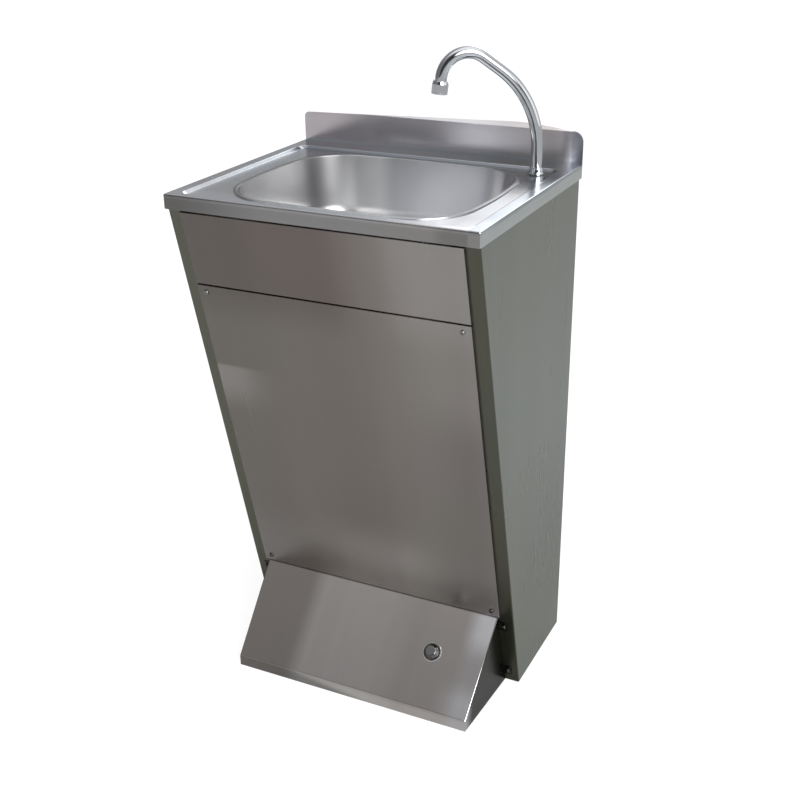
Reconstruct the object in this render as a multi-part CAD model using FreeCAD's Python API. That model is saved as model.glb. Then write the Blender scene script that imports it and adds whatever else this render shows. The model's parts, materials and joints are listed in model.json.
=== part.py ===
import FreeCAD, Part
import math
import os

# Foot operated hand wash sink in folded and pressed stainless sheet.
# Millimetres, +Z up, front towards -Y, origin on the floor under the middle of the outline.

V = FreeCAD.Vector
Placement = FreeCAD.Placement
Rotation = FreeCAD.Rotation

# ---------------------------------------------------------------- driving sizes

# worktop
WORKTOP_WIDTH = 500.0
WORKTOP_DEPTH = 420.0
WORKTOP_HEIGHT = 855.0
SHEET = 1.2
LIP_HEIGHT = 22.0
LIP_EDGE_RADIUS = 2.5
LIP_CORNER_RADIUS = 4.0
RIM_SIDE = 19.0
RIM_FRONT = 15.0
RIM_REAR = 48.0
RECESS_DEPTH = 4.0
RECESS_STEP = 5.0
RECESS_CORNER_RADIUS = 14.0
RECESS_EDGE_RADIUS = 2.5
UPSTAND_FOLD = 50.0
UPSTAND_RETURN = 8.0
UPSTAND_LEFT = 46.8
UPSTAND_PEAK = 57.8
UPSTAND_RIGHT = 50.5
UPSTAND_PEAK_FROM_RIGHT = 100.0
UPSTAND_LEFT_RADIUS = 8.0
UPSTAND_PEAK_RADIUS = 400.0
UPSTAND_RIGHT_RADIUS = 18.0

# bowl
BOWL_SIDE_MARGIN = 59.0
BOWL_FRONT_MARGIN = 30.5
BOWL_REAR_MARGIN = 70.5
BOWL_DEPTH = 120.0
BOWL_FROM_MIDDLE = 5.0
BOWL_SHEET = 1.2
BOWL_SIDE_RADIUS = 700.0
BOWL_FRONT_RADIUS = 1500.0
BOWL_CORNER_RADIUS = 84.0
BOWL_FLOOR_RADIUS = 48.0
BOWL_DRAFT = 12.0
BOWL_RIM_WIDTH = 5.0
BOWL_RIM_HEIGHT = 2.0
BOWL_ROLL_RADIUS = 1.8
BOWL_HOLE_CLEARANCE = 0.3
SOUND_PAD_LENGTH = 70.0
SOUND_PAD_WIDTH = 120.0
SOUND_PAD_THICKNESS = 3.0
SOUND_PAD_FROM_WASTE = 50.0

# cabinet
SIDE_INSET = 2.6
SIDE_REAR_INSET = 3.0
FRONT_TOP_SETBACK = 1.8
FRONT_FOOT_SETBACK = 216.0
FLANGE_WIDTH = 45.0
TOP_FLANGE_WIDTH = 13.0
PANEL_BEND_RADIUS = 2.0
ANCHOR_HOLE_RADIUS = 4.5
ANCHOR_INSET = 22.0
ANCHOR_SPACING = 140.0

# front panels
PANEL_SIDE_GAP = 25.0
PANEL_PROUD = 5.0
PANEL_SHEET = 1.0
PANEL_EDGE_RADIUS = 0.8
FASCIA_TOP_DROP = 24.0
FASCIA_HEIGHT = 117.0
PANEL_SEAM = 2.5
ACCESS_ABOVE_KICK = 3.0
SCREW_INSET_X = 14.0
SCREW_INSET_V = 12.0
FASCIA_STUD_RADIUS = 2.5
FASCIA_STUD_REACH = 12.0
FASCIA_STUD_INSET_V = 25.0

# kick plate
KICK_LIP_SETBACK = 56.0
KICK_LIP_HEIGHT = 21.0
KICK_TOP = 149.0
KICK_SIDE_GAP_TOP = 29.0
KICK_SIDE_GAP_FOOT = 35.0
KICK_BEND_RADIUS = 2.0
KICK_FLANGE_SIDE_GAP = 55.0
KICK_FLANGE_HEIGHT = 12.0
TAB_HEIGHT = 20.0
TAB_UPPER = 129.0
TAB_LOWER = 24.0
TAB_WASHER_RADIUS = 6.2
TAB_WASHER_GAP = 0.3
TAB_EDGE = 0.6

# rear rails
RAIL_HEIGHT = 70.0
RAIL_LIP = 12.0
RAIL_END_GAP = 4.0
RAIL_UPPER_DROP = 65.0
RAIL_LOWER_MIDDLE = 60.0
RAIL_SCREW_INSET = 18.0
RAIL_SCREW_SPACING = 40.0
WALL_SLOT_SPACING = 300.0
WALL_SLOT_LENGTH = 30.0
WALL_SLOT_RADIUS = 4.5

# small fixings
SCREW_RADIUS = 2.0
SCREW_HEAD_RADIUS = 3.9
SCREW_HEAD_HEIGHT = 2.4
SCREW_LENGTH = 18.0
THREAD_CLEARANCE = 0.05
HOLE_CLEARANCE = 0.4
RIVET_NUT_RADIUS = 3.4
RIVET_NUT_HEAD_RADIUS = 5.0
RIVET_NUT_HEAD = 0.8
RIVET_NUT_LENGTH = 9.0
BOLT_RADIUS = 2.5
BOLT_HEAD_FLATS = 8.0
BOLT_HEAD_HEIGHT = 3.5
BOLT_LENGTH = 10.0
NUT_HEIGHT = 4.0
BRACKET_LEG = 36.0
BRACKET_WIDTH = 25.0
BRACKET_DROP = 25.0
BRACKET_SHEET = 2.0
BRACKET_STUD_FROM_SIDE = 29.0
BRACKET_FRONT = 90.0
BRACKET_FROM_REAR = 135.0
STUD_LENGTH = 14.0

# spout
SPOUT_FROM_SIDE = 49.0
SPOUT_FROM_REAR = 77.0
SPOUT_AIM = 34.0
SPOUT_TUBE_RADIUS = 9.0
SPOUT_BORE_RADIUS = 7.5
SPOUT_STRAIGHT_RISE = 41.0
SPOUT_FIRST_RADIUS = 147.0
SPOUT_FIRST_ANGLE = 54.0
SPOUT_STRAIGHT = 31.0
SPOUT_SECOND_RADIUS = 40.0
SPOUT_DROP = 13.0
SPOUT_LEAN = 6.5
SPOUT_BASE_RADIUS = 12.0
SPOUT_BASE_FLARE = 1.0
SPOUT_BASE_HEIGHT = 10.0
SPOUT_GASKET = 1.0
SPOUT_SHANK_LENGTH = 52.0
SPOUT_SOCKET_DEPTH = 36.0
SPOUT_FIT = 0.08
ORING_SECTION_RADIUS = 0.8
ORING_GAP = 0.03
SWIVEL_BACK = 34.0
SWIVEL_FRONT = 56.0
SWIVEL_STOP_MARGIN = 12.5
GRUB_RADIUS = 1.5
GRUB_GROOVE_DEPTH = 0.8
GRUB_TIP_GAP = 0.15
GRUB_BEARING = 90.0
LOCKNUT_FLATS = 28.0
LOCKNUT_HEIGHT = 6.0
WASHER_THICKNESS = 1.5
AERATOR_RADIUS = 12.2
AERATOR_LENGTH = 19.0
AERATOR_GRIP_GROOVES = 24
AERATOR_GROOVE_RADIUS = 0.6
AERATOR_LIP = 1.2
AERATOR_INSERT_HEIGHT = 7.0
AERATOR_WASHER_HEIGHT = 2.0
SPOUT_NOSE_RADIUS = 10.2
SPOUT_NOSE_LENGTH = 9.0

# pipework: half inch threads and 12 mm tube
THREAD_RADIUS = 10.48
INLET_BORE_RADIUS = 9.32
INLET_BORE_LENGTH = 12.0
PIPE_RADIUS = 6.0
PIPE_BORE_RADIUS = 5.0
PIPE_SOCKET_DEPTH = 12.0
PIPE_CLEARANCE = 0.05
UNION_NUT_FLATS = 26.0
UNION_NUT_COVER = 8.0
UNION_NUT_HOOD = 10.0
UNION_NUT_END = 4.0
OLIVE_LENGTH = 5.5
OLIVE_RADIUS = 8.6
RISER_BEND_RADIUS = 40.0
RISER_CROSSING_RISE = 68.5
SUPPLY_FROM_VALVE = 75.0
SUPPLY_BEND_RADIUS = 30.0
UNION_BODY_RADIUS = 13.5
UNION_FLANGE_RADIUS = 18.0
UNION_FLANGE = 3.0
UNION_REAR_REACH = 9.0
UNION_FRONT_REACH = 24.0
CLIP_DROPS = (395.0, 215.0)
CLIP_WIDTH = 14.0
CLIP_SHEET = 2.0
CLIP_FOOT = 30.0

# foot valve
BUTTON_FROM_CHEEK = 94.0
BUTTON_UP_SLOPE = 93.0
BUTTON_RADIUS = 12.6
BUTTON_FACE_RADIUS = 8.3
BUTTON_PROUD = 10.0
BUTTON_SHOULDER = 3.5
BUTTON_SKIRT = 9.0
BUTTON_EDGE_RADIUS = 0.8
BUTTON_TRAVEL = 8.0
BUTTON_FIT = 0.08
VALVE_RIM_RADIUS = 16.6
VALVE_RIM_HEIGHT = 1.2
VALVE_NECK_RADIUS = 15.6
VALVE_HOLE_CLEARANCE = 0.3
WIPER_RADIUS = 14.8
WIPER_DEPTH = 3.0
WIPER_GAP = 0.3
VALVE_NECK_LENGTH = 30.0
VALVE_BODY_RADIUS = 17.0
SPRING_CLOSED = 8.0
VALVE_GUIDE_LENGTH = 9.0
VALVE_CHAMBER_RADIUS = 10.5
VALVE_SEAT_DEPTH = 50.0
VALVE_SEAT_THICKNESS = 3.0
VALVE_SEAT_RADIUS = 5.5
VALVE_LENGTH = 74.0
VALVE_CAP_THICKNESS = 4.0
VALVE_CAP_PLUG = 5.0
STEM_RADIUS = 3.0
POPPET_RADIUS = 8.0
POPPET_THICKNESS = 2.5
POPPET_SEAL_THICKNESS = 2.0
POPPET_GAP = 0.1
PORT_RADIUS = 4.0
STUB_LENGTH = 30.0
OUTLET_PORT_DEPTH = 42.0
INLET_PORT_DEPTH = 61.0
SPRING_COIL_RADIUS = 8.0
SPRING_WIRE_RADIUS = 0.7
SPRING_TURNS = 5.0
VALVE_LOCKNUT_FLATS = 38.0
VALVE_LOCKNUT_HEIGHT = 6.0

# waste and bottle trap
WASTE_DISH_RADIUS = 38.0
WASTE_DISH_DEPTH = 3.0
WASTE_HOLE_RADIUS = 22.0
WASTE_FLANGE_RADIUS = 35.0
WASTE_FLANGE = 2.0
WASTE_SEAL = 1.0
WASTE_THREAD_RADIUS = 20.95
WASTE_BORE_RADIUS = 17.5
WASTE_BODY_FLANGE_RADIUS = 34.0
WASTE_BODY_FLANGE = 4.0
WASTE_LOWER_SEAL = 2.5
WASTE_BODY_LENGTH = 62.0
WASTE_HOLES = 8
WASTE_HOLE_SIZE = 3.4
WASTE_HOLE_CIRCLE = 12.0
WASTE_SCREW_RADIUS = 3.0
WASTE_SCREW_HEAD = 6.0
WASTE_WEB_DROP = 28.0
WASTE_WEB_HEIGHT = 6.0
WASTE_WEB_HUB = 6.5
WASTE_WEB_ARM = 3.0
DRAIN_PIPE_RADIUS = 16.0
DRAIN_PIPE_BORE = 14.5
DRAIN_NUT_RADIUS = 26.0
DRAIN_NUT_COVER = 12.0
DRAIN_NUT_END = 4.0
DRAIN_NUT_RIBS = 12
DRAIN_NUT_RIB_RADIUS = 1.6
DRAIN_SEAL_HEIGHT = 5.0
TRAP_BELOW_WASTE = 47.3
TRAP_HEIGHT = 120.0
TRAP_STUB_GAP = 1.05
TRAP_RADIUS = 31.0
TRAP_WALL = 3.0
TRAP_CUP_RADIUS = 35.0
TRAP_OUTLET_DROP = 37.0
TRAP_STUB_REACH = 54.0
TRAP_DIP = 40.0
TRAP_CUP_OVERLAP = 14.0
TAILPIPE_INSERT = 12.0
OUTLET_PIPE_INSERT = 14.0
OUTLET_PIPE_END_GAP = 1.0
PIPE_COLLAR_RADIUS = 18.5
PIPE_COLLAR_LENGTH = 4.0
PIPE_COLLAR_GAP = 1.0

# ---------------------------------------------------------------- places worked out from them

TOTAL_DEPTH = WORKTOP_DEPTH - SHEET + UPSTAND_RETURN + SHEET / math.sqrt(2)
FRONT_Y = -TOTAL_DEPTH / 2
REAR_Y = FRONT_Y + WORKTOP_DEPTH
DECK_Z = WORKTOP_HEIGHT - RECESS_DEPTH
DECK_UNDERSIDE = DECK_Z - SHEET
RIM_UNDERSIDE = WORKTOP_HEIGHT - SHEET
SIDE_X = WORKTOP_WIDTH / 2 - SIDE_INSET
SIDE_INNER_X = SIDE_X - SHEET
SIDE_REAR_Y = REAR_Y - SIDE_REAR_INSET
SLOPE_TOP_Y = FRONT_Y + FRONT_TOP_SETBACK
SLOPE_FOOT_Y = FRONT_Y + FRONT_FOOT_SETBACK
LEAN = math.degrees(math.atan2(SLOPE_FOOT_Y - SLOPE_TOP_Y, RIM_UNDERSIDE))
COS_LEAN = math.cos(math.radians(LEAN))
BOWL_LENGTH = WORKTOP_WIDTH - 2 * BOWL_SIDE_MARGIN
BOWL_WIDTH = WORKTOP_DEPTH - BOWL_FRONT_MARGIN - BOWL_REAR_MARGIN
BOWL_X = BOWL_FROM_MIDDLE
BOWL_Y = FRONT_Y + BOWL_FRONT_MARGIN + BOWL_WIDTH / 2
BOWL_FLOOR_Z = DECK_Z - BOWL_DEPTH
UPSTAND_PEAK_X = WORKTOP_WIDTH / 2 - UPSTAND_PEAK_FROM_RIGHT
SPOUT_X = WORKTOP_WIDTH / 2 - SPOUT_FROM_SIDE
SPOUT_Y = REAR_Y - SPOUT_FROM_REAR
PANEL_WIDTH = WORKTOP_WIDTH - 2 * PANEL_SIDE_GAP
KICK_WIDTH_TOP = WORKTOP_WIDTH - 2 * KICK_SIDE_GAP_TOP
KICK_WIDTH_FOOT = WORKTOP_WIDTH - 2 * KICK_SIDE_GAP_FOOT
KICK_FLANGE_WIDTH = WORKTOP_WIDTH - 2 * KICK_FLANGE_SIDE_GAP
KICK_LIP_Y = FRONT_Y + KICK_LIP_SETBACK
FASCIA_TOP = WORKTOP_HEIGHT - FASCIA_TOP_DROP
FASCIA_BOTTOM = FASCIA_TOP - FASCIA_HEIGHT
ACCESS_TOP = FASCIA_BOTTOM - PANEL_SEAM
ACCESS_BOTTOM = KICK_TOP + ACCESS_ABOVE_KICK
RAIL_UPPER_MIDDLE = WORKTOP_HEIGHT - RAIL_UPPER_DROP
SPOUT_BEND_START = DECK_Z + SPOUT_STRAIGHT_RISE
BUTTON_X = KICK_WIDTH_TOP / 2 - BUTTON_FROM_CHEEK
SUPPLY_X = BUTTON_X - SUPPLY_FROM_VALVE
VALVE_SPRING_FLOOR = BUTTON_SKIRT + BUTTON_TRAVEL + SPRING_CLOSED


def slope_y(z):
    """The Y of the cabinet's sloping front plane at height z."""
    return SLOPE_FOOT_Y - z * math.tan(math.radians(LEAN))


KICK_ANGLE = math.degrees(math.atan2(KICK_TOP - KICK_LIP_HEIGHT, slope_y(KICK_TOP) - KICK_LIP_Y))

# The front plane's own axes: X stays, Y runs up the slope from the floor, Z points out.
FRONT_PLANE = Placement(V(0, SLOPE_FOOT_Y, 0), Rotation(V(1, 0, 0), 90 + LEAN))
# The kick plate's own axes: X stays, Y runs up its slope from the lip, Z points out.
KICK_PLANE = Placement(V(0, KICK_LIP_Y, KICK_LIP_HEIGHT), Rotation(V(1, 0, 0), KICK_ANGLE))
VALVE_AXIS = KICK_PLANE.multiply(Placement(V(BUTTON_X, BUTTON_UP_SLOPE, 0), Rotation()))


# ---------------------------------------------------------------- shape helpers

def box(x0, x1, y0, y1, z0, z1):
    """A box between two corners."""
    return Part.makeBox(x1 - x0, y1 - y0, z1 - z0, V(x0, y0, z0))


def cylinder(radius, z0, z1, x=0.0, y=0.0):
    """An upright cylinder from z0 to z1."""
    return Part.makeCylinder(radius, z1 - z0, V(x, y, z0))


def ring(outer, inner, z0, z1, x=0.0, y=0.0):
    """An upright tube from z0 to z1."""
    return cylinder(outer, z0, z1, x, y).cut(cylinder(inner, z0 - 1, z1 + 1, x, y))


def turned(profile):
    """A solid turned about Z from (radius, height) corners."""
    points = [V(radius, 0, height) for radius, height in profile]
    face = Part.Face(Part.makePolygon(points + points[:1]))
    return face.revolve(V(0, 0, 0), V(0, 0, 1), 360)


def hexagon(flats, z0, z1):
    """An upright hexagonal bar, as wide across its flats as given."""
    corner = flats / math.sqrt(3)
    angles = [math.radians(60 * i) for i in range(7)]
    points = [V(corner * math.cos(a), corner * math.sin(a), z0) for a in angles]
    return Part.Face(Part.makePolygon(points)).extrude(V(0, 0, z1 - z0))


def sheet_yz(points, x0, x1):
    """A flat outline of (y, z) corners, extruded from x0 to x1."""
    corners = [V(x0, y, z) for y, z in points]
    return Part.Face(Part.makePolygon(corners + corners[:1])).extrude(V(x1 - x0, 0, 0))


def moved(shape, placement):
    """A copy of the shape, carried from its own axes to the placement's."""
    copy = shape.copy()
    copy.Placement = placement.multiply(copy.Placement)
    return copy


def at(x, y, z):
    """A placement that only shifts."""
    return Placement(V(x, y, z), Rotation())


def aimed(point, direction):
    """A placement at the point whose Z runs along the direction."""
    return Placement(point, Rotation(V(0, 0, 1), direction))


def mirrored(shape):
    """The shape's twin on the other side of the middle."""
    return shape.mirror(V(0, 0, 0), V(1, 0, 0))


def rounded(shape, radius, wanted):
    """The shape with a fillet on each edge whose bounding box passes the test."""
    edges = [edge for edge in shape.Edges if wanted(edge.BoundBox)]
    return shape.makeFillet(radius, edges)


def level(bounds, z):
    """Whether an edge lies flat at height z."""
    return abs(bounds.ZMin - z) < 0.01 and abs(bounds.ZMax - z) < 0.01


def fused(shapes):
    """One solid from shapes that meet."""
    return shapes[0].fuse(shapes[1:]).removeSplitter()


def group(solids):
    """Separate like solids that share a node."""
    return Part.makeCompound(solids)


def bent_path(points, radii):
    """A wire of straight runs with a tangent arc at each inner point."""
    edges = []
    start = points[0]
    for before, corner, after, radius in zip(points, points[1:], points[2:], radii):
        inward = (corner - before).normalize()
        outward = (after - corner).normalize()
        half = inward.getAngle(outward) / 2
        reach = radius * math.tan(half)
        first = corner - inward * reach
        last = corner + outward * reach
        bisector = (outward - inward).normalize()
        middle = corner + bisector * (radius / math.cos(half) - radius)
        edges.append(Part.LineSegment(start, first).toShape())
        edges.append(Part.Arc(first, middle, last).toShape())
        start = last
    edges.append(Part.LineSegment(start, points[-1]).toShape())
    return Part.Wire(edges)


def pipe_along(wire, outer, inner):
    """A hollow tube swept along a wire."""
    start = wire.Edges[0].valueAt(wire.Edges[0].FirstParameter)
    heading = wire.Edges[0].tangentAt(wire.Edges[0].FirstParameter)
    solids = []
    for radius in (outer, inner):
        circle = Part.Wire(Part.Circle(start, heading, radius).toShape())
        solids.append(wire.makePipeShell([circle], True, False))
    return solids[0].cut(solids[1])


def rounded_rectangle(x0, x1, y0, y1, radius, z):
    """A level rectangle with round corners, as a wire."""
    face = Part.makePlane(x1 - x0, y1 - y0, V(x0, y0, z))
    solid = face.extrude(V(0, 0, 1))
    uprights = [edge for edge in solid.Edges if edge.BoundBox.ZLength > 0.5]
    solid = solid.makeFillet(radius, uprights)
    lowest = [f for f in solid.Faces if f.BoundBox.ZMax < z + 0.01]
    return lowest[0].OuterWire


# ---------------------------------------------------------------- worktop and bowl

def recess_cutter(drop):
    """The tapered block that presses the deck below the rim, lowered by drop."""
    wires = []
    for below, z in ((-1.0, WORKTOP_HEIGHT + 1.0), (RECESS_DEPTH, DECK_Z)):
        inset = below * RECESS_STEP / RECESS_DEPTH
        x = WORKTOP_WIDTH / 2 - RIM_SIDE - inset
        y0 = FRONT_Y + RIM_FRONT + inset
        y1 = REAR_Y - RIM_REAR - inset
        wires.append(rounded_rectangle(-x, x, y0, y1, RECESS_CORNER_RADIUS - inset, z - drop))
    return Part.makeLoft(wires, True, True)


def upstand():
    """The rear upstand: its front face, the slanted return above it and its cut outline."""
    half = WORKTOP_WIDTH / 2
    fold = WORKTOP_HEIGHT + UPSTAND_FOLD
    slant = SHEET * math.tan(math.radians(22.5))
    front = REAR_Y - SHEET
    back = front + UPSTAND_RETURN
    edge = SHEET / math.sqrt(2)
    section = [
        (front, RIM_UNDERSIDE),
        (front, fold),
        (back, fold + UPSTAND_RETURN),
        (back + edge, fold + UPSTAND_RETURN - edge),
        (REAR_Y, fold - slant),
        (REAR_Y, RIM_UNDERSIDE),
    ]
    plate = sheet_yz(section, -half, half)
    tops = [(-half, UPSTAND_LEFT), (UPSTAND_PEAK_X, UPSTAND_PEAK), (half, UPSTAND_RIGHT)]
    points = [V(x, FRONT_Y, WORKTOP_HEIGHT + rise) for x, rise in tops]
    points = [V(-half, FRONT_Y, RIM_UNDERSIDE)] + points + [V(half, FRONT_Y, RIM_UNDERSIDE)]
    mask = Part.Face(Part.makePolygon(points + points[:1])).extrude(V(0, 2 * TOTAL_DEPTH, 0))
    corners = [(-half, UPSTAND_LEFT_RADIUS), (UPSTAND_PEAK_X, UPSTAND_PEAK_RADIUS), (half, UPSTAND_RIGHT_RADIUS)]
    for x, radius in corners:

        def top_corner(b):
            return b.YLength > 1 and b.ZMin > WORKTOP_HEIGHT and abs(b.XMin - x) < 0.5

        mask = rounded(mask, radius, top_corner)
    return plate.common(mask)


def bracket_places():
    """Where the four worktop brackets stand, as (side, y)."""
    return [(side, y) for side in (-1, 1) for y in (FRONT_Y + BRACKET_FRONT, REAR_Y - BRACKET_FROM_REAR)]


def bracket_stud_x():
    """How far the worktop's welded studs stand from the middle."""
    return SIDE_INNER_X - BRACKET_STUD_FROM_SIDE


def worktop():
    """Rim, recessed deck, turned-down lip and upstand, with the studs below."""
    half = WORKTOP_WIDTH / 2
    bottom = WORKTOP_HEIGHT - LIP_HEIGHT
    outer = box(-half, half, FRONT_Y, REAR_Y, bottom, WORKTOP_HEIGHT)
    outer = rounded(outer, LIP_CORNER_RADIUS, lambda b: b.ZLength > 1 and b.YMax < FRONT_Y + 1)

    def rim_edge(b):
        return level(b, WORKTOP_HEIGHT) and b.YMin < REAR_Y - 1

    outer = rounded(outer, LIP_EDGE_RADIUS, rim_edge)
    outer = outer.cut(recess_cutter(0.0))

    def recess_edge(b):
        inside = b.XMin > -half + RIM_SIDE - 1 and b.XMax < half - RIM_SIDE + 1
        inside = inside and b.YMin > FRONT_Y + RIM_FRONT - 1 and b.YMax < REAR_Y - RIM_REAR + 1
        return inside and (level(b, WORKTOP_HEIGHT) or level(b, DECK_Z))

    outer = rounded(outer, RECESS_EDGE_RADIUS, recess_edge)
    inner = box(-half + SHEET, half - SHEET, FRONT_Y + SHEET, REAR_Y + 1, bottom - 1, RIM_UNDERSIDE)
    inner = inner.cut(recess_cutter(SHEET))
    sheet = outer.cut(inner)
    mouth = Part.Face(bowl_outline(BOWL_SHEET + BOWL_HOLE_CLEARANCE, DECK_Z - LIP_HEIGHT))
    sheet = sheet.cut(mouth.extrude(V(0, 0, LIP_HEIGHT * 2)))
    spout_hole = THREAD_RADIUS + HOLE_CLEARANCE
    sheet = sheet.cut(cylinder(spout_hole, DECK_Z - LIP_HEIGHT, DECK_Z + 1, SPOUT_X, SPOUT_Y))
    studs = []
    for side, y in bracket_places():
        x = side * bracket_stud_x()
        studs.append(cylinder(BOLT_RADIUS, DECK_UNDERSIDE - STUD_LENGTH, DECK_Z - SHEET / 2, x, y))
    return fused([sheet, upstand()] + studs)


def bowl_corner():
    """Centres of the bowl outline's side, front and corner arcs, in its first quarter."""
    side = V(BOWL_LENGTH / 2 - BOWL_SIDE_RADIUS, 0, 0)
    front = V(0, BOWL_WIDTH / 2 - BOWL_FRONT_RADIUS, 0)
    reach_side = BOWL_SIDE_RADIUS - BOWL_CORNER_RADIUS
    reach_front = BOWL_FRONT_RADIUS - BOWL_CORNER_RADIUS
    apart = (front - side).Length
    along = (reach_side ** 2 - reach_front ** 2 + apart ** 2) / (2 * apart)
    across = math.sqrt(reach_side ** 2 - along ** 2)
    unit = (front - side).normalize()
    corner = side + unit * along + V(-unit.y, unit.x, 0) * across
    return side, front, corner


def bowl_outline(grow, z):
    """The bowl's mouth outline at height z, grown outwards: four bowed walls, four round corners."""
    side, front, corner = bowl_corner()
    middle = V(BOWL_X, BOWL_Y, z)
    wall_end = side + (corner - side).normalize() * (BOWL_SIDE_RADIUS + grow)
    front_end = front + (corner - front).normalize() * (BOWL_FRONT_RADIUS + grow)
    bisector = ((wall_end - corner).normalize() + (front_end - corner).normalize()).normalize()
    corner_middle = corner + bisector * (BOWL_CORNER_RADIUS + grow)
    wall_middle = V(BOWL_LENGTH / 2 + grow, 0, 0)
    front_middle = V(0, BOWL_WIDTH / 2 + grow, 0)

    def turned_to(point, sx, sy):
        return V(point.x * sx, point.y * sy, 0) + middle

    edges = []
    for sx, sy in ((1, 1), (-1, 1), (-1, -1), (1, -1)):
        corner_points = [turned_to(p, sx, sy) for p in (wall_end, corner_middle, front_end)]
        edges.append(Part.Arc(*corner_points).toShape())
    for sx in (1, -1):
        ends = [turned_to(wall_end, sx, -1), turned_to(wall_middle, sx, 1), turned_to(wall_end, sx, 1)]
        edges.append(Part.Arc(*ends).toShape())
    for sy in (1, -1):
        ends = [turned_to(front_end, 1, sy), turned_to(front_middle, 1, sy), turned_to(front_end, -1, sy)]
        edges.append(Part.Arc(*ends).toShape())
    return Part.Wire(Part.__sortEdges__(edges))


def bowl_block(grow, top, floor, floor_radius, dish_radius, dish_floor):
    """The solid inside a bowl surface: tapered walls, rounded floor and the waste's dish."""
    wires = [bowl_outline(grow, top), bowl_outline(grow - BOWL_DRAFT, floor)]
    block = Part.makeLoft(wires, True, True)
    block = rounded(block, floor_radius, lambda b: level(b, floor))
    return block.fuse(cylinder(dish_radius, dish_floor, floor + 1, BOWL_X, BOWL_Y))


def bowl():
    """Pressed bowl with a rolled rim that lies on the deck and a dish for the waste."""
    top = DECK_Z + BOWL_RIM_HEIGHT
    floor = BOWL_FLOOR_Z
    dish = floor - WASTE_DISH_DEPTH
    wall = BOWL_SHEET
    outside = bowl_block(wall, top, floor - wall, BOWL_FLOOR_RADIUS + wall, WASTE_DISH_RADIUS + wall, dish - wall)
    rim_face = Part.Face(bowl_outline(BOWL_SHEET + BOWL_RIM_WIDTH, DECK_Z))
    rim = rim_face.extrude(V(0, 0, BOWL_RIM_HEIGHT))
    rim = rounded(rim, BOWL_ROLL_RADIUS, lambda b: level(b, top))
    inside = bowl_block(0.0, top, floor, BOWL_FLOOR_RADIUS, WASTE_DISH_RADIUS, dish)
    shell = outside.fuse(rim).cut(inside)
    shell = shell.cut(cylinder(WASTE_HOLE_RADIUS, dish - 2 * wall, floor, BOWL_X, BOWL_Y))
    return shell


def sound_pads():
    """Two damping pads glued under the bowl's floor."""
    top = BOWL_FLOOR_Z - BOWL_SHEET
    pads = []
    for side in (-1, 1):
        ends = sorted((side * SOUND_PAD_FROM_WASTE, side * (SOUND_PAD_FROM_WASTE + SOUND_PAD_LENGTH)))
        y0 = BOWL_Y - SOUND_PAD_WIDTH / 2
        pad = box(ends[0], ends[1], y0, y0 + SOUND_PAD_WIDTH, top - SOUND_PAD_THICKNESS, top)
        pads.append(moved(pad, at(BOWL_X, 0, 0)))
    return group(pads)


# ---------------------------------------------------------------- cabinet

def front_v(z):
    """How far up the front plane's own Y axis the height z lies."""
    return z / COS_LEAN


def screw_places():
    """The access panel's four screws on the front plane, as (x, v)."""
    x = PANEL_WIDTH / 2 - SCREW_INSET_X
    low = front_v(ACCESS_BOTTOM) + SCREW_INSET_V
    high = front_v(ACCESS_TOP) - SCREW_INSET_V
    return [(side * x, v) for side in (-1, 1) for v in (low, high)]


def stud_places():
    """The fascia's four welded studs on the front plane, as (x, v)."""
    x = PANEL_WIDTH / 2 - SCREW_INSET_X
    low = front_v(FASCIA_BOTTOM) + FASCIA_STUD_INSET_V
    high = front_v(FASCIA_TOP) - FASCIA_STUD_INSET_V
    return [(side * x, v) for side in (-1, 1) for v in (low, high)]


def tab_screw_x():
    """How far the kick plate's screws stand from the middle, clear of its cheeks."""
    return kick_half_width(SLOPE_FOOT_Y) + TAB_WASHER_GAP + TAB_WASHER_RADIUS


def tab_places():
    """The kick plate's four fixing screws on the front plane, as (x, v)."""
    x = tab_screw_x()
    return [(side * x, front_v(z)) for side in (-1, 1) for z in (TAB_LOWER, TAB_UPPER)]


def rail_screw_places():
    """The rear rails' screws, as (x, z)."""
    x = SIDE_X - FLANGE_WIDTH + RAIL_SCREW_INSET
    places = []
    for middle in (RAIL_LOWER_MIDDLE, RAIL_UPPER_MIDDLE):
        for side in (-1, 1):
            for shift in (-RAIL_SCREW_SPACING / 2, RAIL_SCREW_SPACING / 2):
                places.append((side * x, middle + shift))
    return places


def side_outline(inset):
    """The side panel's outline, moved in by inset on each side."""
    lean = math.radians(LEAN)
    top = RIM_UNDERSIDE - inset
    rear = SIDE_REAR_Y - inset

    def front(z):
        return SLOPE_FOOT_Y + inset / math.cos(lean) - z * math.tan(lean)

    return [(front(top), top), (rear, top), (rear, inset), (front(inset), inset)]


def anchor_places():
    """Floor anchor holes of one side, as (x, y)."""
    x = SIDE_X - ANCHOR_INSET
    middle = (SLOPE_FOOT_Y + SIDE_REAR_Y) / 2
    return [(x, middle + shift) for shift in (-ANCHOR_SPACING / 2, ANCHOR_SPACING / 2)]


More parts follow.
